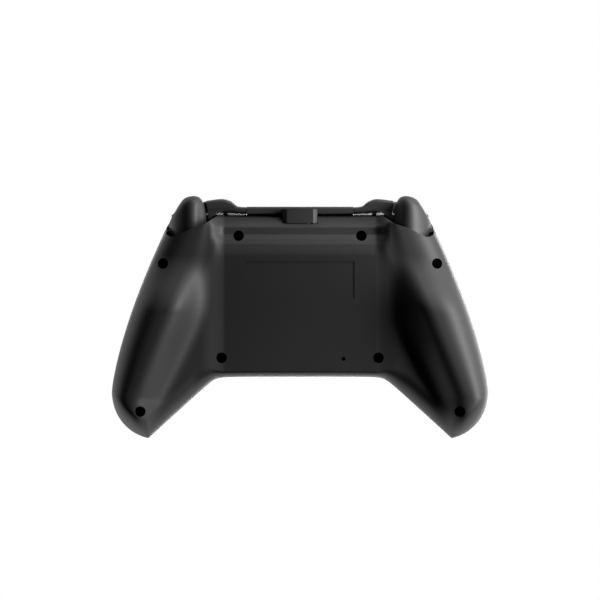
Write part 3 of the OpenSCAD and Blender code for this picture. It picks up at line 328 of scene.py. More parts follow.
def shellMesh(name, side):  # side is -1 for the back and 1 for the face
    u = np.linspace(-1, 1, hs["columns"])
    xs = (hs["halfW"] - hs["rimGap"])*np.sign(u)*(1 - (1 - np.abs(u))**hs["crowd"])  # closer towards the sides
    extra = np.array([-1, 1])[:, None]*(hs["panelX"] + np.array(hs["panelLines"]))
    xs = np.unique(np.round(np.concatenate([xs, extra.ravel()]), 4))
    t = (1 - np.cos(np.pi*np.linspace(0, 1, hs["rows"])))/2
    if side < 0:
        t = np.unique(np.concatenate([t, np.array(bandSteps)/(hs["topY"] + hs["bottomY"])]))
    n, m = len(xs), len(t)
    skins = []
    for w in (0, hs["wall"]):
        x = (xs*(hs["halfW"] - w)/hs["halfW"])[:, None]*np.ones((1, m))
        ax = np.abs(x)
        y = mix(yTop(ax, w), yBottom(ax, w), t[None, :])
        d = backDepth(x, y, w) if side < 0 else faceHeight(x, y, w)
        d[:, 0] = d[:, -1] = d[0, :] = d[-1, :] = 0
        z = hs["seamZ"] + seamDrop(y) + side*(np.maximum(d, 0) + hs["seamGap"]/2)
        skins.append(np.stack([x, y, z], -1).reshape(-1, 3))
    points = np.concatenate(skins)*mm
    i, j = np.meshgrid(np.arange(n - 1), np.arange(m - 1), indexing="ij")
    a = (i*m + j).ravel()
    quads = np.stack([a, a + 1, a + m + 1, a + m], -1)
    loop = np.array([k*m for k in range(n - 1)] + [(n - 1)*m + k for k in range(m - 1)]
                    + [k*m + m - 1 for k in range(n - 1, 0, -1)] + list(range(m - 1, 0, -1)))
    after = np.roll(loop, -1)
    rim = np.stack([loop, after, after + n*m, loop + n*m], -1)
    if side > 0:
        quads, rim = quads[:, ::-1], rim[:, ::-1]
    faces = np.concatenate([quads, quads[:, ::-1] + n*m, rim])
    return addMesh(name, points, faces.tolist())


def prism(points, z0, z1):  # closed prism over a polygon, for cutting and adding
    n = len(points)
    verts = [(x*mm, y*mm, z*mm) for z in (z0, z1) for x, y in points]
    faces = [list(range(n))[::-1], list(range(n, 2*n))]
    return verts, faces + [[k, (k + 1) % n, n + (k + 1) % n, n + k] for k in range(n)]


def box(a, b):  # from one corner to the other
    return prism([(a[0], a[1]), (b[0], a[1]), (b[0], b[1]), (a[0], b[1])], a[2], b[2])


def disc(at, r, count=48):
    angles = [2*math.pi*k/count for k in range(count)]
    return [(at[0] + r*math.cos(a), at[1] + r*math.sin(a)) for a in angles]


def cone(at, r0, r1, z0, z1, count=64):
    low, high = disc(at, r0, count), disc(at, r1, count)
    verts = [(x*mm, y*mm, z0*mm) for x, y in low] + [(x*mm, y*mm, z1*mm) for x, y in high]
    return verts, prism(low, 0, 1)[1]


def turned(part, toAxis):  # prism along Z laid along X or Y
    verts, faces = part
    if toAxis == "x":
        return [(z, x, y) for x, y, z in verts], faces
    return [(y, z, x) for x, y, z in verts], faces


def mirrored(part):
    verts, faces = part
    return [(-x, y, z) for x, y, z in verts], [f[::-1] for f in faces]


def onSide(parts, side):  # parts drawn for the right, mirrored for the left
    return [mirrored(p) for p in parts] if side < 0 else parts


def combine(piece, verts, faces, operation):
    tool = addMesh(piece.name + ".tool", verts, faces)
    step = piece.modifiers.new("combine", "BOOLEAN")
    step.operation = operation
    step.solver = "MANIFOLD"
    step.object = tool
    bpy.context.view_layer.update()
    result = bpy.data.meshes.new_from_object(piece.evaluated_get(bpy.context.evaluated_depsgraph_get()))
    piece.modifiers.clear()
    piece.data = result
    bpy.data.objects.remove(tool)


def addOn(piece, parts):
    for verts, faces in parts:
        combine(piece, verts, faces, "UNION")


def cutAway(piece, parts, smoothAngle=35):  # all the cuts at once
    verts, faces = [], []
    for v, f in parts:
        faces += [[k + len(verts) for k in face] for face in f]
        verts += v
    combine(piece, verts, faces, "DIFFERENCE")
    softShade(piece, smoothAngle)


def through(x, xp, yp):  # smooth curve through points, in x
    xp, yp = np.array(xp, float), np.array(yp, float)
    step = np.diff(xp)
    rise = np.diff(yp)/step
    between = (rise[:-1]*step[1:] + rise[1:]*step[:-1])/(step[1:] + step[:-1])
    slope = np.concatenate([[rise[0]], between, [rise[-1]]])
    k = np.clip(np.searchsorted(xp, x) - 1, 0, len(step) - 1)
    t = (x - xp[k])/step[k]
    return ((2*t**3 - 3*t**2 + 1)*yp[k] + (t**3 - 2*t**2 + t)*step[k]*slope[k]
            + (3*t**2 - 2*t**3)*yp[k + 1] + (t**3 - t**2)*step[k]*slope[k + 1])


def splineThrough(points, count):  # smooth curve through points, evenly spread between them
    p = np.array(points, float)
    t = np.linspace(0, len(p) - 1, count)
    i = np.minimum(t.astype(int), len(p) - 2)
    f = (t - i)[:, None]
    a, b, c, d = p[np.maximum(i - 1, 0)], p[i], p[i + 1], p[np.minimum(i + 2, len(p) - 1)]
    return 0.5*(2*b + (c - a)*f + (2*a - 5*b + 4*c - d)*f*f + (3*b - a - 3*c + d)*f**3)


def rounded(points, radius, steps=5):  # polygon with its corners rounded
    out = []
    n = len(points)
    for k in range(n):
        p, a, b = (np.array(points[i % n], float) for i in (k, k - 1, k + 1))
        u, v = (a - p)/np.linalg.norm(a - p), (b - p)/np.linalg.norm(b - p)
        r = min(radius, np.linalg.norm(a - p)*0.45, np.linalg.norm(b - p)*0.45)  # under half of each side
        for t in np.linspace(0, 1, steps):
            out.append(tuple((1 - t)**2*(p + u*r) + 2*t*(1 - t)*p + t*t*(p + v*r)))
    return out


def oblong(w, h, at=(0, 0), count=16):
    r = h/2
    out = []
    for s, start in ((1, -0.5), (-1, 0.5)):
        for k in range(count + 1):
            a = math.pi*(start + k/count)
            out.append((at[0] + s*(w/2 - r) + r*math.cos(a), at[1] + r*math.sin(a)))
    return out


def loftMesh(name, rings, smoothAngle=35):  # closed loft through rings of equal length, with strips over its ends
    rings = np.array(rings)
    n, m = rings.shape[:2]
    i, j = np.meshgrid(np.arange(n - 1), np.arange(m), indexing="ij")
    a = (i*m + j).ravel()
    b = (i*m + (j + 1) % m).ravel()
    faces = np.stack([a, a + m, b + m, b], -1).tolist()
    strip = [[k, k + 1, m - 2 - k, m - 1 - k] for k in range(m//2 - 1)]
    faces += strip + [[(n - 1)*m + k for k in f[::-1]] for f in strip]
    return addMesh(name, rings.reshape(-1, 3)*mm, faces, smoothAngle)


def skinPost(at, r, high, least=1.6, count=48):  # round post whose foot follows the middle of the rear wall
    ring = np.array(disc(at, r, count) + [at])
    depth = np.maximum(backDepth(ring[:, 0], ring[:, 1], 0), least)
    foot = hs["seamZ"] + seamDrop(ring[:, 1]) - depth + hs["wall"]/2
    verts = [(x*mm, y*mm, z*mm) for (x, y), z in zip(ring, foot)] + [(x*mm, y*mm, high*mm) for x, y in ring]
    faces = []
    for k in range(count):
        q = (k + 1) % count
        faces += [[q, k, count], [k, q, count + 1 + q, count + 1 + k], [count + 1 + k, count + 1 + q, 2*count + 1]]
    return verts, faces


def makeRearShell():
    rear = dict(wellR=2.15, wellWall=1.25, wellFloor=3.2, wellGap=0.4,  # screw wells
                pinR=0.8, pinWall=1.1, pinTop=22,  # reset pinhole
                labelHalf=22, labelTop=22.5, labelH=15, labelDeep=0.2, labelCut=2,  # plain label field
                windowFar=61.7, windowTop=28.5, cutFrom=-5, pinCut=28,  # trigger window, and how far cuts go
                sideAt=(34.6, 23.5), sideR=0.9, sideX=(51.5, 60),  # small hole beside each trigger
                portRoom=((-7.25, 38, 18.35), (7.25, 47, 29)),
                jackAt=(0, 22.8), jackR=3.0, jackY=(-30, -21))
    shell = shellMesh("rearShell", -1)
    spots = [(s*x, y) for x, y in wells for s in (-1, 1)]
    posts = [skinPost(p, rear["wellR"] + rear["wellWall"], wellSeam(p) - rear["wellGap"]) for p in spots]
    posts.append(skinPost(resetAt, rear["pinR"] + rear["pinWall"], rear["pinTop"]))
    addOn(shell, posts)
    far, low = rear["windowFar"], rear["cutFrom"]
    window = prism([(windowEdge[0][0], far)] + windowEdge + [(windowEdge[-1][0], far)], low, rear["windowTop"])
    sideHole = turned(prism(disc(rear["sideAt"], rear["sideR"], 24), *rear["sideX"]), "x")
    cuts = [window, mirrored(window), sideHole, mirrored(sideHole)]
    cuts += [prism(disc(p, rear["wellR"]), low, wellSeam(p) - rear["wellFloor"]) for p in spots]
    cuts.append(prism(disc(resetAt, rear["pinR"], 24), low, rear["pinCut"]))
    cuts.append(box(*rear["portRoom"]))
    cuts.append(turned(prism(disc(rear["jackAt"][::-1], rear["jackR"], 40), *rear["jackY"]), "y"))
    half, labelTop, labelLow = rear["labelHalf"], rear["labelTop"], rear["labelTop"] - rear["labelH"]
    panelZ = hs["seamZ"] - hs["panelD"]
    cuts.append(box((-half, labelLow, panelZ - rear["labelCut"]), (half, labelTop, panelZ + rear["labelDeep"])))
    cutAway(shell, cuts)
    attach(shell, "housing")
    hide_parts("rear_shell")
    return shell


faceAt = [(37, 8.3), (46.7, 18), (37, 27.7), (27.3, 18)]
stickAt = dict(left=(-38, 18), right=(19.5, -5))
padAt = (-19.5, -5)


def makeFrontShell():
    front = dict(stickR=11.4, buttonR=5.3, homeR=5.5, menuR=3.3, padArm=(12.2, 4.7),
                 homeAt=(0, 27), menuAt=(11.5, 16),
                 stickRim=(2, 1.2, 0.8), holeRim=(0.5, 0.4, 0.1),  # flare, from below the face to above it
                 cutFrom=29, padOver=3, lap=0.01)
    shell = shellMesh("frontShell", 1)
    top = hs["seamZ"] + hs["faceH"]
    menuX, menuY = front["menuAt"]
    small = [(p, front["buttonR"]) for p in faceAt] + [(front["homeAt"], front["homeR"])]
    small += [((s*menuX, menuY), front["menuR"]) for s in (-1, 1)]
    holes = [(at, front["stickR"], front["stickRim"], 96) for at in stickAt.values()]
    holes += [(at, r, front["holeRim"], 64) for at, r in small]
    cuts = []
    for at, r, (flare, deep, over), count in holes:
        cuts.append(cone(at, r, r, front["cutFrom"], top - deep + front["lap"], count))
        cuts.append(cone(at, r, r + flare, top - deep, top + over, count))
    a, b = front["padArm"]
    arm = [(a, -b), (a, b), (b, b)]
    cross = [(padAt[0] + x*c - y*s, padAt[1] + x*s + y*c) for c, s in quarterTurns for x, y in arm]
    cuts.append(prism(cross, front["cutFrom"], top + front["padOver"]))
    cutAway(shell, cuts)
    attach(shell, "housing")
    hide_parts("front_shell")
    return shell


# trigger: a thin curved finger plate on a hub; "face" is its crest seen from the side, as [y, height above the
# parting line], and "plan" its reach, as [x, y]
trigger = dict(x=(38.0, 54.0), reach=49.3, plate=2.2, plateShare=0.85, lines=60, stations=80, span=(0.01, 0.995),
               knee=36.5, tuck=1.6, lipGap=1, smoothAngle=50,
               face=[(42.5, -1), (47.4, -3), (49.3, -7.2), (47.6, -11.6), (43.7, -15), (38.5, -16.9), (34.6, -16.2)],
               plan=[(38.0, 38.8), (38.3, 41), (38.9, 45), (39.5, 47.1), (40.5, 48.5), (42, 49.2), (43.5, 49.3),
                     (45.5, 48.95), (47.6, 47.8), (49.5, 45.3), (51.5, 41.9), (53, 39.2), (54, 36.9)],
               innerFill=0.45, innerR=9, outerFill=0.2, outerR=11, outerP=1.5,  # rounding across the face
               rootTop=-1.15, rootLow=(-5.6, -2.8), rootX=(12, 16), rootGap=0.4,  # line that the plate closes to
               clear=(1.5, 0.8), clearX=(2, 4.5), crestBlend=2,  # room under the shell, less away from the inner end
               pivot=(36, 29), hubR=3, noseR=1.8, boreR=1.05, hubX=(43, 46.8), noseX=49.4, boreX=(41, 51), webIn=0.01,
               web=[(34.5, 30.6), (37.6, 30.6), (39.2, 26.6), (41, 24.6), (47.4, 21.5), (45.8, 18), (42.2, 16.6),
                    (38, 16.8), (35.8, 17.2), (33.6, 25)])


def makeTrigger(name, side):
    t = trigger
    x0, x1 = t["x"]
    pivotY, pivotUp = t["pivot"][0], t["pivot"][1] - hs["seamZ"]
    out = splineThrough(t["face"], t["lines"])
    lift = out[:, 0] - t["knee"]
    downLine = np.linspace(0, 1, t["lines"])
    edge, plan = np.array(windowEdge), np.array(t["plan"])
    rings = []
    for f in mix(*t["span"], (1 - np.cos(np.pi*np.linspace(0, 1, t["stations"])))/2):
        x = mix(x0, x1, f)
        lip = np.interp(x, edge[:, 0], edge[:, 1])
        rootY = lip + t["lipGap"]
        high = float(through(np.array([x]), plan[:, 0], plan[:, 1])[0])
        above = (high - rootY)/(t["reach"] - t["knee"])
        below = (t["lipGap"] + t["tuck"])/(t["knee"] - t["face"][-1][0])
        y = rootY + lift*np.where(lift > 0, above, below)
        fill = (mix(t["innerFill"], 1, roundEdge(x - x0, t["innerR"]))
                * mix(t["outerFill"], 1, roundEdge(x1 - x, t["outerR"])**t["outerP"]))
        rootZ = np.linspace(t["rootTop"], mix(*t["rootLow"], smooth(*t["rootX"], x - x0)), t["lines"])
        clear = mix(*t["clear"], smooth(*t["clearX"], x - x0))
        lipDepth = backDepth(np.array([x]), np.array([lip]), hs["wall"])[0]
        arc = np.hypot(min(0, lip - pivotY), lipDepth + pivotUp) - clear
        under = np.minimum(y, lip) - pivotY
        limit = np.sqrt(np.maximum(0.01, arc**2 - under**2)) - pivotUp  # arc that slides under the shell
        crest = (out[:, 1] - limit + np.hypot(out[:, 1] + limit, t["crestBlend"]))/2  # face blended with its limit
        deep = rootZ + (crest - rootZ)*fill
        outer = np.stack([y, np.minimum(deep, rootZ - t["rootGap"]*downLine)], -1)
        root = np.stack([np.full_like(y, rootY), rootZ], -1)
        reach = np.linalg.norm(outer - root, axis=1)[:, None]
        inner = outer + (root - outer)*np.minimum(t["plate"]/np.maximum(reach, slack), t["plateShare"])
        ring = np.concatenate([inner, outer[::-1]])
        rings.append([(side*x, q[0], hs["seamZ"] + q[1]) for q in ring])
    piece = loftMesh(name + "Trigger", rings, t["smoothAngle"])
    hubFrom, hubTo = t["hubX"]
    hub = turned(prism(disc(t["pivot"], t["hubR"], 40), hubFrom, hubTo), "x")
    nose = turned(prism(disc(t["pivot"], t["noseR"], 32), hubTo, t["noseX"]), "x")
    web = turned(prism(t["web"], hubFrom + t["webIn"], hubTo - t["webIn"]), "x")
    addOn(piece, onSide([hub, nose, web], side))
    bore = turned(prism(disc(t["pivot"], t["boreR"], 32), *t["boreX"]), "x")
    cutAway(piece, onSide([bore], side), t["smoothAngle"])
    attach(piece, name + "_trigger")
    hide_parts(name + "_trigger")
    return piece


# bumper: rounded bar beside the bridge, drawn thin over the trigger; "hump" is its outer edge, as [x, y]
bumper = dict(start=22.1, end=52.6, turn=37.5, turnW=0.6, stations=110, ring=56, smoothAngle=40,
              hump=[(22.1, 45), (24, 45.05), (25.5, 45.4), (26.5, 46.2), (27.6, 47.1), (29, 47.75), (31.2, 48.3),
                    (33, 48.2), (36, 47.7), (39, 47.1), (45, 45.7), (49.5, 43.5), (52.6, 40.9)],
              press=1.15, gap=0.3, thin=0.8, square=0.5,  # room to be pressed in, least width, and how square it is
              below=(-6, 0.9), above=(8, 4),  # lower and upper side about the parting line, before and past the turn
              leanSlope=0.22, leanY=41, leanMost=1.3, leanX=30,  # end that follows the trigger's side
              eye=(19, 43.2), eyeR=1.2, boreR=0.65, eyeZ=(26.8, 31.2), boreZ=(20, 40), armX=25.1, armY=(42.4, 44.4),
              nubAt=(30.5, 32), nubR=1, nubY=(38.3, 44.7),
              flap=[(30.5, 43.5), (32.6, 42.7), (33.9, 42.2), (37.5, 39.55), (37.5, 44.5)], flapZ=(22.2, 27.6))


def makeBumper(name, side):
    b = bumper
    hump = np.array(b["hump"])
    eyeX, tail = b["eye"][0], b["end"] - b["turn"]
    angles = 2*np.pi*(np.arange(b["ring"]) + 0.5)/b["ring"]
    acrossY, acrossZ = (np.sign(c)*np.abs(c)**b["square"] for c in (np.cos(angles), np.sin(angles)))
    turnLines = b["turn"] - b["turnW"]*np.array([1, 0.75, 0.5, 0.25, 0])
    rings = []
    for x in np.union1d(np.linspace(b["start"], b["end"], b["stations"]), turnLines):
        low = float(yTop(np.array(x), 0)) + b["gap"] + b["press"]*(x - eyeX)/(b["end"] - eyeX)
        high = max(float(through(np.array([x]), hump[:, 0], hump[:, 1])[0]), low + b["thin"])
        z0 = float(mix(*b["below"], smooth(b["turn"] - b["turnW"], b["turn"], np.array(x))))
        z1 = mix(*b["above"], max(0, (x - b["turn"])/tail))
        z = (z0 + z1)/2 + acrossZ*(z1 - z0)/2
        near = low - overEdge(z)
        y = near + (high - near)*(acrossY + 1)/2
        lean = np.clip(b["leanSlope"]*(y - b["leanY"]), 0, b["leanMost"])
        lean = lean*float(smooth(b["leanX"], b["turn"], x))*min(1, (b["end"] - x)/tail)
        rings.append([(side*(x + e), v, hs["seamZ"] + u) for e, v, u in zip(lean, y, z)])
    piece = loftMesh(name + "Bumper", rings, b["smoothAngle"])
    arm = box((eyeX, b["armY"][0], b["eyeZ"][0]), (b["armX"], b["armY"][1], b["eyeZ"][1]))
    eye = prism(disc(b["eye"], b["eyeR"], 32), *b["eyeZ"])
    nub = turned(prism(disc(b["nubAt"][::-1], b["nubR"], 24), *b["nubY"]), "y")  # presses the switch
    flap = prism(b["flap"], *b["flapZ"])  # corner beside the trigger
    addOn(piece, onSide([arm, eye, nub, flap], side))
    bore = prism(disc(b["eye"], b["boreR"], 24), *b["boreZ"])
    cutAway(piece, onSide([bore], side), b["smoothAngle"])
    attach(piece, name + "_bumper")
    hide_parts(name + "_bumper")
    return piece


def makeBridge():
    bridge = dict(half=21.8, reach=45, back=42, low=22, edge=0.5, lowCut=(0.6, 1),
                  front=[(0, 32), (0.6, 34), (1.8, 35.6)],  # back from its reach, and height
                  under=(8.2, 7, 5.5, 4, 2.5, 1),  # heights at which it follows the housing's edge
                  notch=((-7.25, 40, 15), (7.25, 43.95, 26.35)),  # over the port block
                  pocket=((17.4, 41, 26.5), (22.8, 44.7, 31.5)))  # room for a bumper's eye
    b = bridge
    cutY, cutZ = b["lowCut"]
    corners = [(b["back"], b["low"]), (b["reach"] - cutY, b["low"]), (b["reach"], b["low"] + cutZ)]
    corners += [(b["reach"] - y, z) for y, z in b["front"]]
    corners += [(b["back"] - float(overEdge(z)), hs["seamZ"] + z) for z in b["under"]]
    verts, faces = turned(prism(rounded(corners, b["edge"]), -b["half"], b["half"]), "x")
    piece = addMesh("topBridge", verts, faces)
    pocket = box(*b["pocket"])
    cutAway(piece, [box(*b["notch"]), pocket, mirrored(pocket)])
    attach(piece, "housing")
    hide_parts("top_bridge")
    return piece


def makePortBlock():
    block = dict(half=7.1, near=38.2, far=43.8, low=18.5, top=26.2, cut=1.6, edge=0.35, slotZ=22.4, slot=(9.04, 3.26),
                 slotY=(30, 50))
    b = block
    half, low, cut = b["half"], b["low"], b["cut"]
    outline = rounded([(-half, b["top"]), (-half, low + cut), (-half + cut, low),
                       (half - cut, low), (half, low + cut), (half, b["top"])], b["edge"])
    verts, faces = turned(prism([(z, x) for x, z in outline], b["near"], b["far"]), "y")
    piece = addMesh("portBlock", verts, faces)
    slot = oblong(*b["slot"], (0, b["slotZ"]))
    cutAway(piece, [turned(prism([(z, x) for x, z in slot], *b["slotY"]), "y")])
    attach(piece, "housing")
    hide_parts("port_shroud")
    return piece


# thumb stick cap: turned round the stick's pivot, with ribs round its rim and a dished top; [radius, height] in mm
stick = dict(pivotZ=32.2, dome=10.4, shell=1.4, sweep=(62, 22), sweepSteps=16, boreR=2.05, boreTop=13.8, tip=0.02,
             neck=[(3.75, 10), (3.45, 10.9), (3.35, 11.8), (3.4, 12.6), (4, 13.6), (5.6, 14.3), (8.1, 14.85)],
             rim=[(8.3, 14.9), (8.85, 15.3), (9, 15.8), (9, 17.7), (8.75, 18.4), (8.3, 18.75), (7.8, 18.8),
                  (7.3, 18.7), (6.9, 18.35), (6.2, 17.95), (4.5, 17.5), (2.2, 17.28), (0.02, 17.2)],
             neckSteps=24, rimSteps=48, segments=480, smoothAngle=40,
             ribs=60, ribDepth=0.16, ribLow=(15.3, 15.7), ribHigh=(18, 18.4), ribR=(8.4, 8.8))


def makeStickCap(name):
    k = stick
    sweep = np.radians(np.linspace(*k["sweep"], k["sweepSteps"]))
    outer, inner = k["dome"], k["dome"] - k["shell"]
    profile = [(k["boreR"], k["boreTop"]), (k["boreR"], inner)]
    profile += [(inner*math.sin(a), inner*math.cos(a)) for a in sweep[::-1]]
    profile += [(outer*math.sin(a), outer*math.cos(a)) for a in sweep]
    profile += [tuple(p) for p in splineThrough(k["neck"], k["neckSteps"])]
    profile += [tuple(p) for p in splineThrough(k["rim"], k["rimSteps"])] + [(k["tip"], k["boreTop"])]
    radius, height = np.array(profile).T
    angle = 2*np.pi*np.arange(k["segments"])/k["segments"]
    rib = np.clip(1.6*np.cos(k["ribs"]*angle) + 0.4, 0, 1)  # flat-bottomed grooves between the ribs
    ribbed = smooth(*k["ribLow"], height)*smooth(*k["ribR"], radius)*(1 - smooth(*k["ribHigh"], height))
    x0, y0 = stickAt[name]
    rings = []
    for a, g in zip(angle, rib):
        r = radius - k["ribDepth"]*ribbed*g
        rings.append(np.stack([x0 + r*math.cos(a), y0 + r*math.sin(a), k["pivotZ"] + height], -1))
    rings = np.array(rings)
    n, m = rings.shape[:2]
    i, j = np.meshgrid(np.arange(n), np.arange(m), indexing="ij")
    a, b = (i*m + j).ravel(), (i*m + (j + 1) % m).ravel()
    c, d = (((i + 1) % n)*m + (j + 1) % m).ravel(), (((i + 1) % n)*m + j).ravel()
    faces = np.stack([a, b, c, d], -1).tolist()
    piece = addMesh(name + "StickCap", rings.reshape(-1, 3)*mm, faces, k["smoothAngle"])
    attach(piece, name + "_stick")
    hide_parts(name + "_stick_cap")
    return piece


# D-pad: cross with dished middle, sloped arm ends and rounded edges, on a round flange
pad = dict(arm=11.5, half=4, top=41.4, endW=1.6, endSlope=0.577, dishR=18.2, dishZ=58.8, edge=0.5, fine=0.25,
           flangeR=11.9, flangeZ=(34.1, 34.8), lap=0.3, smoothAngle=40,
           lugX=2.9, lugHalf=(0.7, 1.8), lugZ=(30.6, 34.4), pegAt=8.5, pegR=1.5, pegZ=(30.4, 34.4),
           boreR=1.05, boreZ=32, boreHalf=5)


def onCross(x, y):
    long, short = max(abs(x), abs(y)), min(abs(x), abs(y))
    return long <= pad["arm"] + slack and short <= pad["half"] + slack


def crossTop(x, y):  # height of the cross before its edges are rounded
    reach = max(abs(x), abs(y))
    dish = pad["dishZ"] - math.sqrt(pad["dishR"]**2 - min(x*x + y*y, pad["dishR"]**2 - 1))
    slope = pad["top"] - pad["endSlope"]*max(0, reach - (pad["arm"] - pad["endW"]))
    return min(pad["top"], slope, dish)


def crossEdge(x, y):  # how far the rounded edge falls below the top
    long, short = max(abs(x), abs(y)), min(abs(x), abs(y))
    if long > pad["half"]:
        gap = min(pad["arm"] - long, pad["half"] - short)
    else:
        gap = math.hypot(pad["half"] - long, pad["half"] - short)
    t = min(1, max(0, gap/pad["edge"]))
    return pad["edge"]*(1 - math.sqrt(1 - (1 - t)**2))


def makeCrossPad():
    p = pad
    x0, y0 = padAt
    fine = p["fine"]
    steps = np.arange(-p["arm"], p["arm"] + slack, fine)
    index, points = {}, []
    for x in steps:
        for y in steps:
            if onCross(x, y):
                index[(round(x, 3), round(y, 3))] = len(points)
                points.append((x0 + x, y0 + y, crossTop(x, y) - crossEdge(x, y)))
    count = len(points)
    points += [(x, y, p["flangeZ"][1] - p["lap"]) for x, y, z in points]
    faces, edges = [], {}
    for x in steps[:-1]:
        for y in steps[:-1]:
            corners = [(x, y), (x + fine, y), (x + fine, y + fine), (x, y + fine)]
            keys = [(round(u, 3), round(v, 3)) for u, v in corners]
            if all(q in index for q in keys) and onCross(x + fine/2, y + fine/2):
                quad = [index[q] for q in keys]
                faces.append(quad)
                faces.append([q + count for q in quad[::-1]])
                for e in zip(quad, quad[1:] + quad[:1]):
                    if e[::-1] in edges:
                        del edges[e[::-1]]
                    else:
                        edges[e] = 1
    faces += [[b, a, a + count, b + count] for a, b in edges]  # sides, along the edges that only one quad has
    piece = addMesh("crossPad", np.array(points)*mm, faces, p["smoothAngle"])
    flange = prism(disc(padAt, p["flangeR"], 96), *p["flangeZ"])
    lugW, lugL = p["lugHalf"]
    lugLow, lugTop = p["lugZ"]
    lugs = [box((x - lugW, y0 - lugL, lugLow), (x + lugW, y0 + lugL, lugTop))
            for x in (x0 - p["lugX"], x0 + p["lugX"])]
    pegs = [prism(disc((x0 + p["pegAt"]*c, y0 + p["pegAt"]*s), p["pegR"], 24), *p["pegZ"]) for c, s in quarterTurns]
    addOn(piece, [flange] + lugs + pegs)
    bore = prism(disc((y0, p["boreZ"]), p["boreR"], 32), x0 - p["boreHalf"], x0 + p["boreHalf"])
    cutAway(piece, [turned(bore, "x")], p["smoothAngle"])
    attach(piece, "dpad")
    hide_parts("dpad_cross")
    return piece


# moulded plastic: even colour with a faint cloud, soft broad highlights and fine grain from the mould;
# real grain is about 0.1 mm, drawn coarser so that it shows
moulded = dict(cloudMm=14, cloudDetail=3.0, grainDetail=2.0, duller=(-0.04, 0.05), bumpMm=0.05, ior=1.5)


def makeMoulded(name, colour, darker, roughness, grainMm, bump, panel=None):
    k = moulded
    material, tree = newMaterial(name)
    coord = addNode(tree, "ShaderNodeTexCoord")
    cloud = addNode(tree, "ShaderNodeTexNoise", [(coord.outputs["Object"], "Vector")],
                    in_Scale=1/(k["cloudMm"]*mm), in_Detail=k["cloudDetail"])
    tint = addNode(tree, "ShaderNodeMix", [(cloud.outputs["Fac"], 0)], data_type="RGBA",
                   in_6=linear(darker), in_7=linear(colour))
    grain = addNode(tree, "ShaderNodeTexNoise", [(coord.outputs["Object"], "Vector")],
                    in_Scale=1/(grainMm*mm), in_Detail=k["grainDetail"])
    if panel:  # painted shade: the recessed back panel drawn darker, as the shade that falls between the grips
        half, high, edge = panel["half"], panel["high"], panel["edge"]
        xyz = addNode(tree, "ShaderNodeSeparateXYZ", [(coord.outputs["Object"], 0)])
        across = addNode(tree, "ShaderNodeMath", [(xyz.outputs["X"], 0)], operation="ABSOLUTE")
        inX = addNode(tree, "ShaderNodeMapRange", [(across.outputs[0], "Value")],
                      in_From_Min=(half + edge)*mm, in_From_Max=(half - edge)*mm)
        inY = addNode(tree, "ShaderNodeMapRange", [(xyz.outputs["Y"], "Value")], interpolation_type="SMOOTHSTEP",
                      in_From_Min=high*mm, in_From_Max=(high - panel["soft"])*mm)
        inside = addNode(tree, "ShaderNodeMath", [(inX.outputs[0], 0), (inY.outputs[0], 1)], operation="MULTIPLY")
        tint = addNode(tree, "ShaderNodeMix", [(inside.outputs[0], 0), (tint.outputs[2], 6)], data_type="RGBA",
                       in_7=linear(panel["colour"]))
    smoothest, dullest = k["duller"]
    dull = addNode(tree, "ShaderNodeMapRange", [(grain.outputs["Fac"], "Value")],
                   in_To_Min=roughness + smoothest, in_To_Max=roughness + dullest)
    raised = addNode(tree, "ShaderNodeBump", [(grain.outputs["Fac"], "Height")],
                     in_Strength=bump, in_Distance=k["bumpMm"]*mm)
    shade = addNode(tree, "ShaderNodeBsdfPrincipled",
                    [(tint.outputs[2], "Base Color"), (dull.outputs[0], "Roughness"), (raised.outputs[0], "Normal")],
                    in_IOR=k["ior"])
    addNode(tree, "ShaderNodeOutputMaterial", [(shade.outputs[0], "Surface")])
    return material


# plated or drawn steel: fine drawing lines along the part and a soft grey shine; the real lines are finer,
# and these are coarse enough to show
drawn = dict(along=0.05, detail=4.0, duller=(-0.08, 0.1))


def makeSteel(name, colour, roughness, lineMm):
    material, tree = newMaterial(name)
    coord = addNode(tree, "ShaderNodeTexCoord")
    stretch = addNode(tree, "ShaderNodeMapping", [(coord.outputs["Object"], "Vector")],
                      in_Scale=(1, drawn["along"], 1))
    lines = addNode(tree, "ShaderNodeTexNoise", [(stretch.outputs[0], "Vector")],
                    in_Scale=1/(lineMm*mm), in_Detail=drawn["detail"])
    smoothest, dullest = drawn["duller"]
    dull = addNode(tree, "ShaderNodeMapRange", [(lines.outputs["Fac"], "Value")],
                   in_To_Min=roughness + smoothest, in_To_Max=roughness + dullest)
    shade = addNode(tree, "ShaderNodeBsdfPrincipled", [(dull.outputs[0], "Roughness")],
                    in_Base_Color=linear(colour), in_Metallic=1.0)
    addNode(tree, "ShaderNodeOutputMaterial", [(shade.outputs[0], "Surface")])
    return material


# painted shade: the back panel, recessed between the grips, is drawn darker than the rest of the shell
paintedShadePanel = dict(half=30.7, high=28, edge=0.4, soft=3, colour="#242425")  # mm

# name, colour, darker cloud, roughness, grain in mm and its strength
shellAbs = makeMoulded("charcoalAbsMoulded", "#333334", "#303031", 0.55, 0.5, 0.08)  # matt charcoal
rearAbs = makeMoulded("charcoalAbsPaintedShade", "#333334", "#303031", 0.55, 0.5, 0.08, paintedShadePanel)  # with painted shade on the back panel
trimAbs = makeMoulded("satinAbsMoulded", "#39393a", "#363637", 0.48, 0.5, 0.06)  # a little lighter and smoother
buttonAbs = makeMoulded("polishedAbs", "#2a2a2b", "#272728", 0.22, 0.6, 0.04)  # clear, small highlights
stickRubber = makeMoulded("siliconeRubberMatt", "#2b2b2c", "#262627", 0.62, 0.4, 0.3)  # dull and dry
socketNylon = makeMoulded("nylonBlack", "#1f1f20", "#1b1b1c", 0.5, 0.4, 0.15)  # flat black
moduleNylon = makeMoulded("nylonGrey", "#62656a", "#5a5d61", 0.5, 0.4, 0.15)  # flat grey
matSilicone = makeMoulded("siliconeGrey", "#9a9c9f", "#929497", 0.6, 0.5, 0.2)  # pale and dull
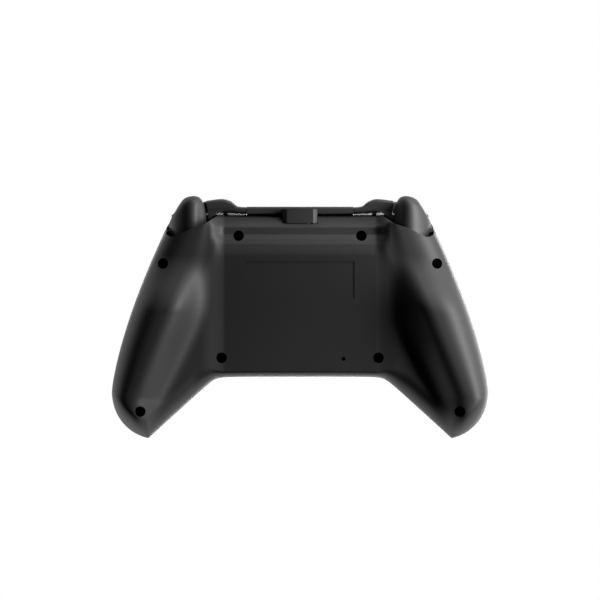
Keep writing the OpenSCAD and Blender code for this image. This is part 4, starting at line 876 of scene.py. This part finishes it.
boardMask = makeMoulded("solderMaskGreen", "#1d5a3f", "#194f37", 0.32, 0.4, 0.05)  # glossy green coat
batteryWrap = makeMoulded("shrinkWrapBlue", "#3f6ea3", "#38659a", 0.3, 0.8, 0.1)  # tight glossy film
zincSteel = makeSteel("zincPlatedSteel", "#b9babc", 0.34, 0.12)  # pale grey shine
blackSteel = makeSteel("blackOxideSteel", "#3a3b3d", 0.42, 0.12)  # dark, hardly shiny
drawnSteel = makeSteel("drawnSteel", "#c6c7c9", 0.28, 0.2)  # bright, with long lines

cadFinish = [
    (buttonAbs, ["face_button_south", "face_button_east", "face_button_north", "face_button_west",
                 "home_button", "menu_button", "view_button"]),
    (drawnSteel, ["usb_port", "right_motor", "left_motor", "right_motor_weight", "left_motor_weight"]),
    (socketNylon, ["headset_jack", "trigger_sensors", "bumper_switches", "reset_switch", "reset_plunger"]),
    (boardMask, ["main_board"]),
    (zincSteel, ["board_screws", "trigger_pins", "bumper_pins", "right_trigger_spring", "left_trigger_spring",
                 "dpad_spider"]),
    (blackSteel, ["shell_screws"]),
    (batteryWrap, ["battery_pack"]),
    (moduleNylon, ["left_stick_base", "right_stick_base", "left_stick_yoke", "right_stick_yoke", "left_stick_pivot",
                   "right_stick_pivot", "left_stick_shaft", "right_stick_shaft", "dpad_post"]),
    (matSilicone, ["dpad_mat", "face_button_mat", "menu_mat"]),
]


def finishWith(piece, material):
    piece.data.materials.clear()
    piece.data.materials.append(material)


rearShell = makeRearShell()
print("rear shell:", len(rearShell.data.polygons), "faces")
frontShell = makeFrontShell()
print("front shell:", len(frontShell.data.polygons), "faces")
finishWith(rearShell, rearAbs)
finishWith(frontShell, shellAbs)
for name, side in (("right", 1), ("left", -1)):
    finishWith(makeTrigger(name, side), trimAbs)
    finishWith(makeBumper(name, side), trimAbs)
finishWith(makeBridge(), trimAbs)
finishWith(makePortBlock(), trimAbs)
print("triggers, bumpers, bridge and port block made")
for name in ("left", "right"):
    finishWith(makeStickCap(name), stickRubber)
finishWith(makeCrossPad(), buttonAbs)
print("stick caps and D-pad made")
for material, names in cadFinish:
    for name in names:
        finishWith(nodes[name], material)
print("inner parts and buttons finished")
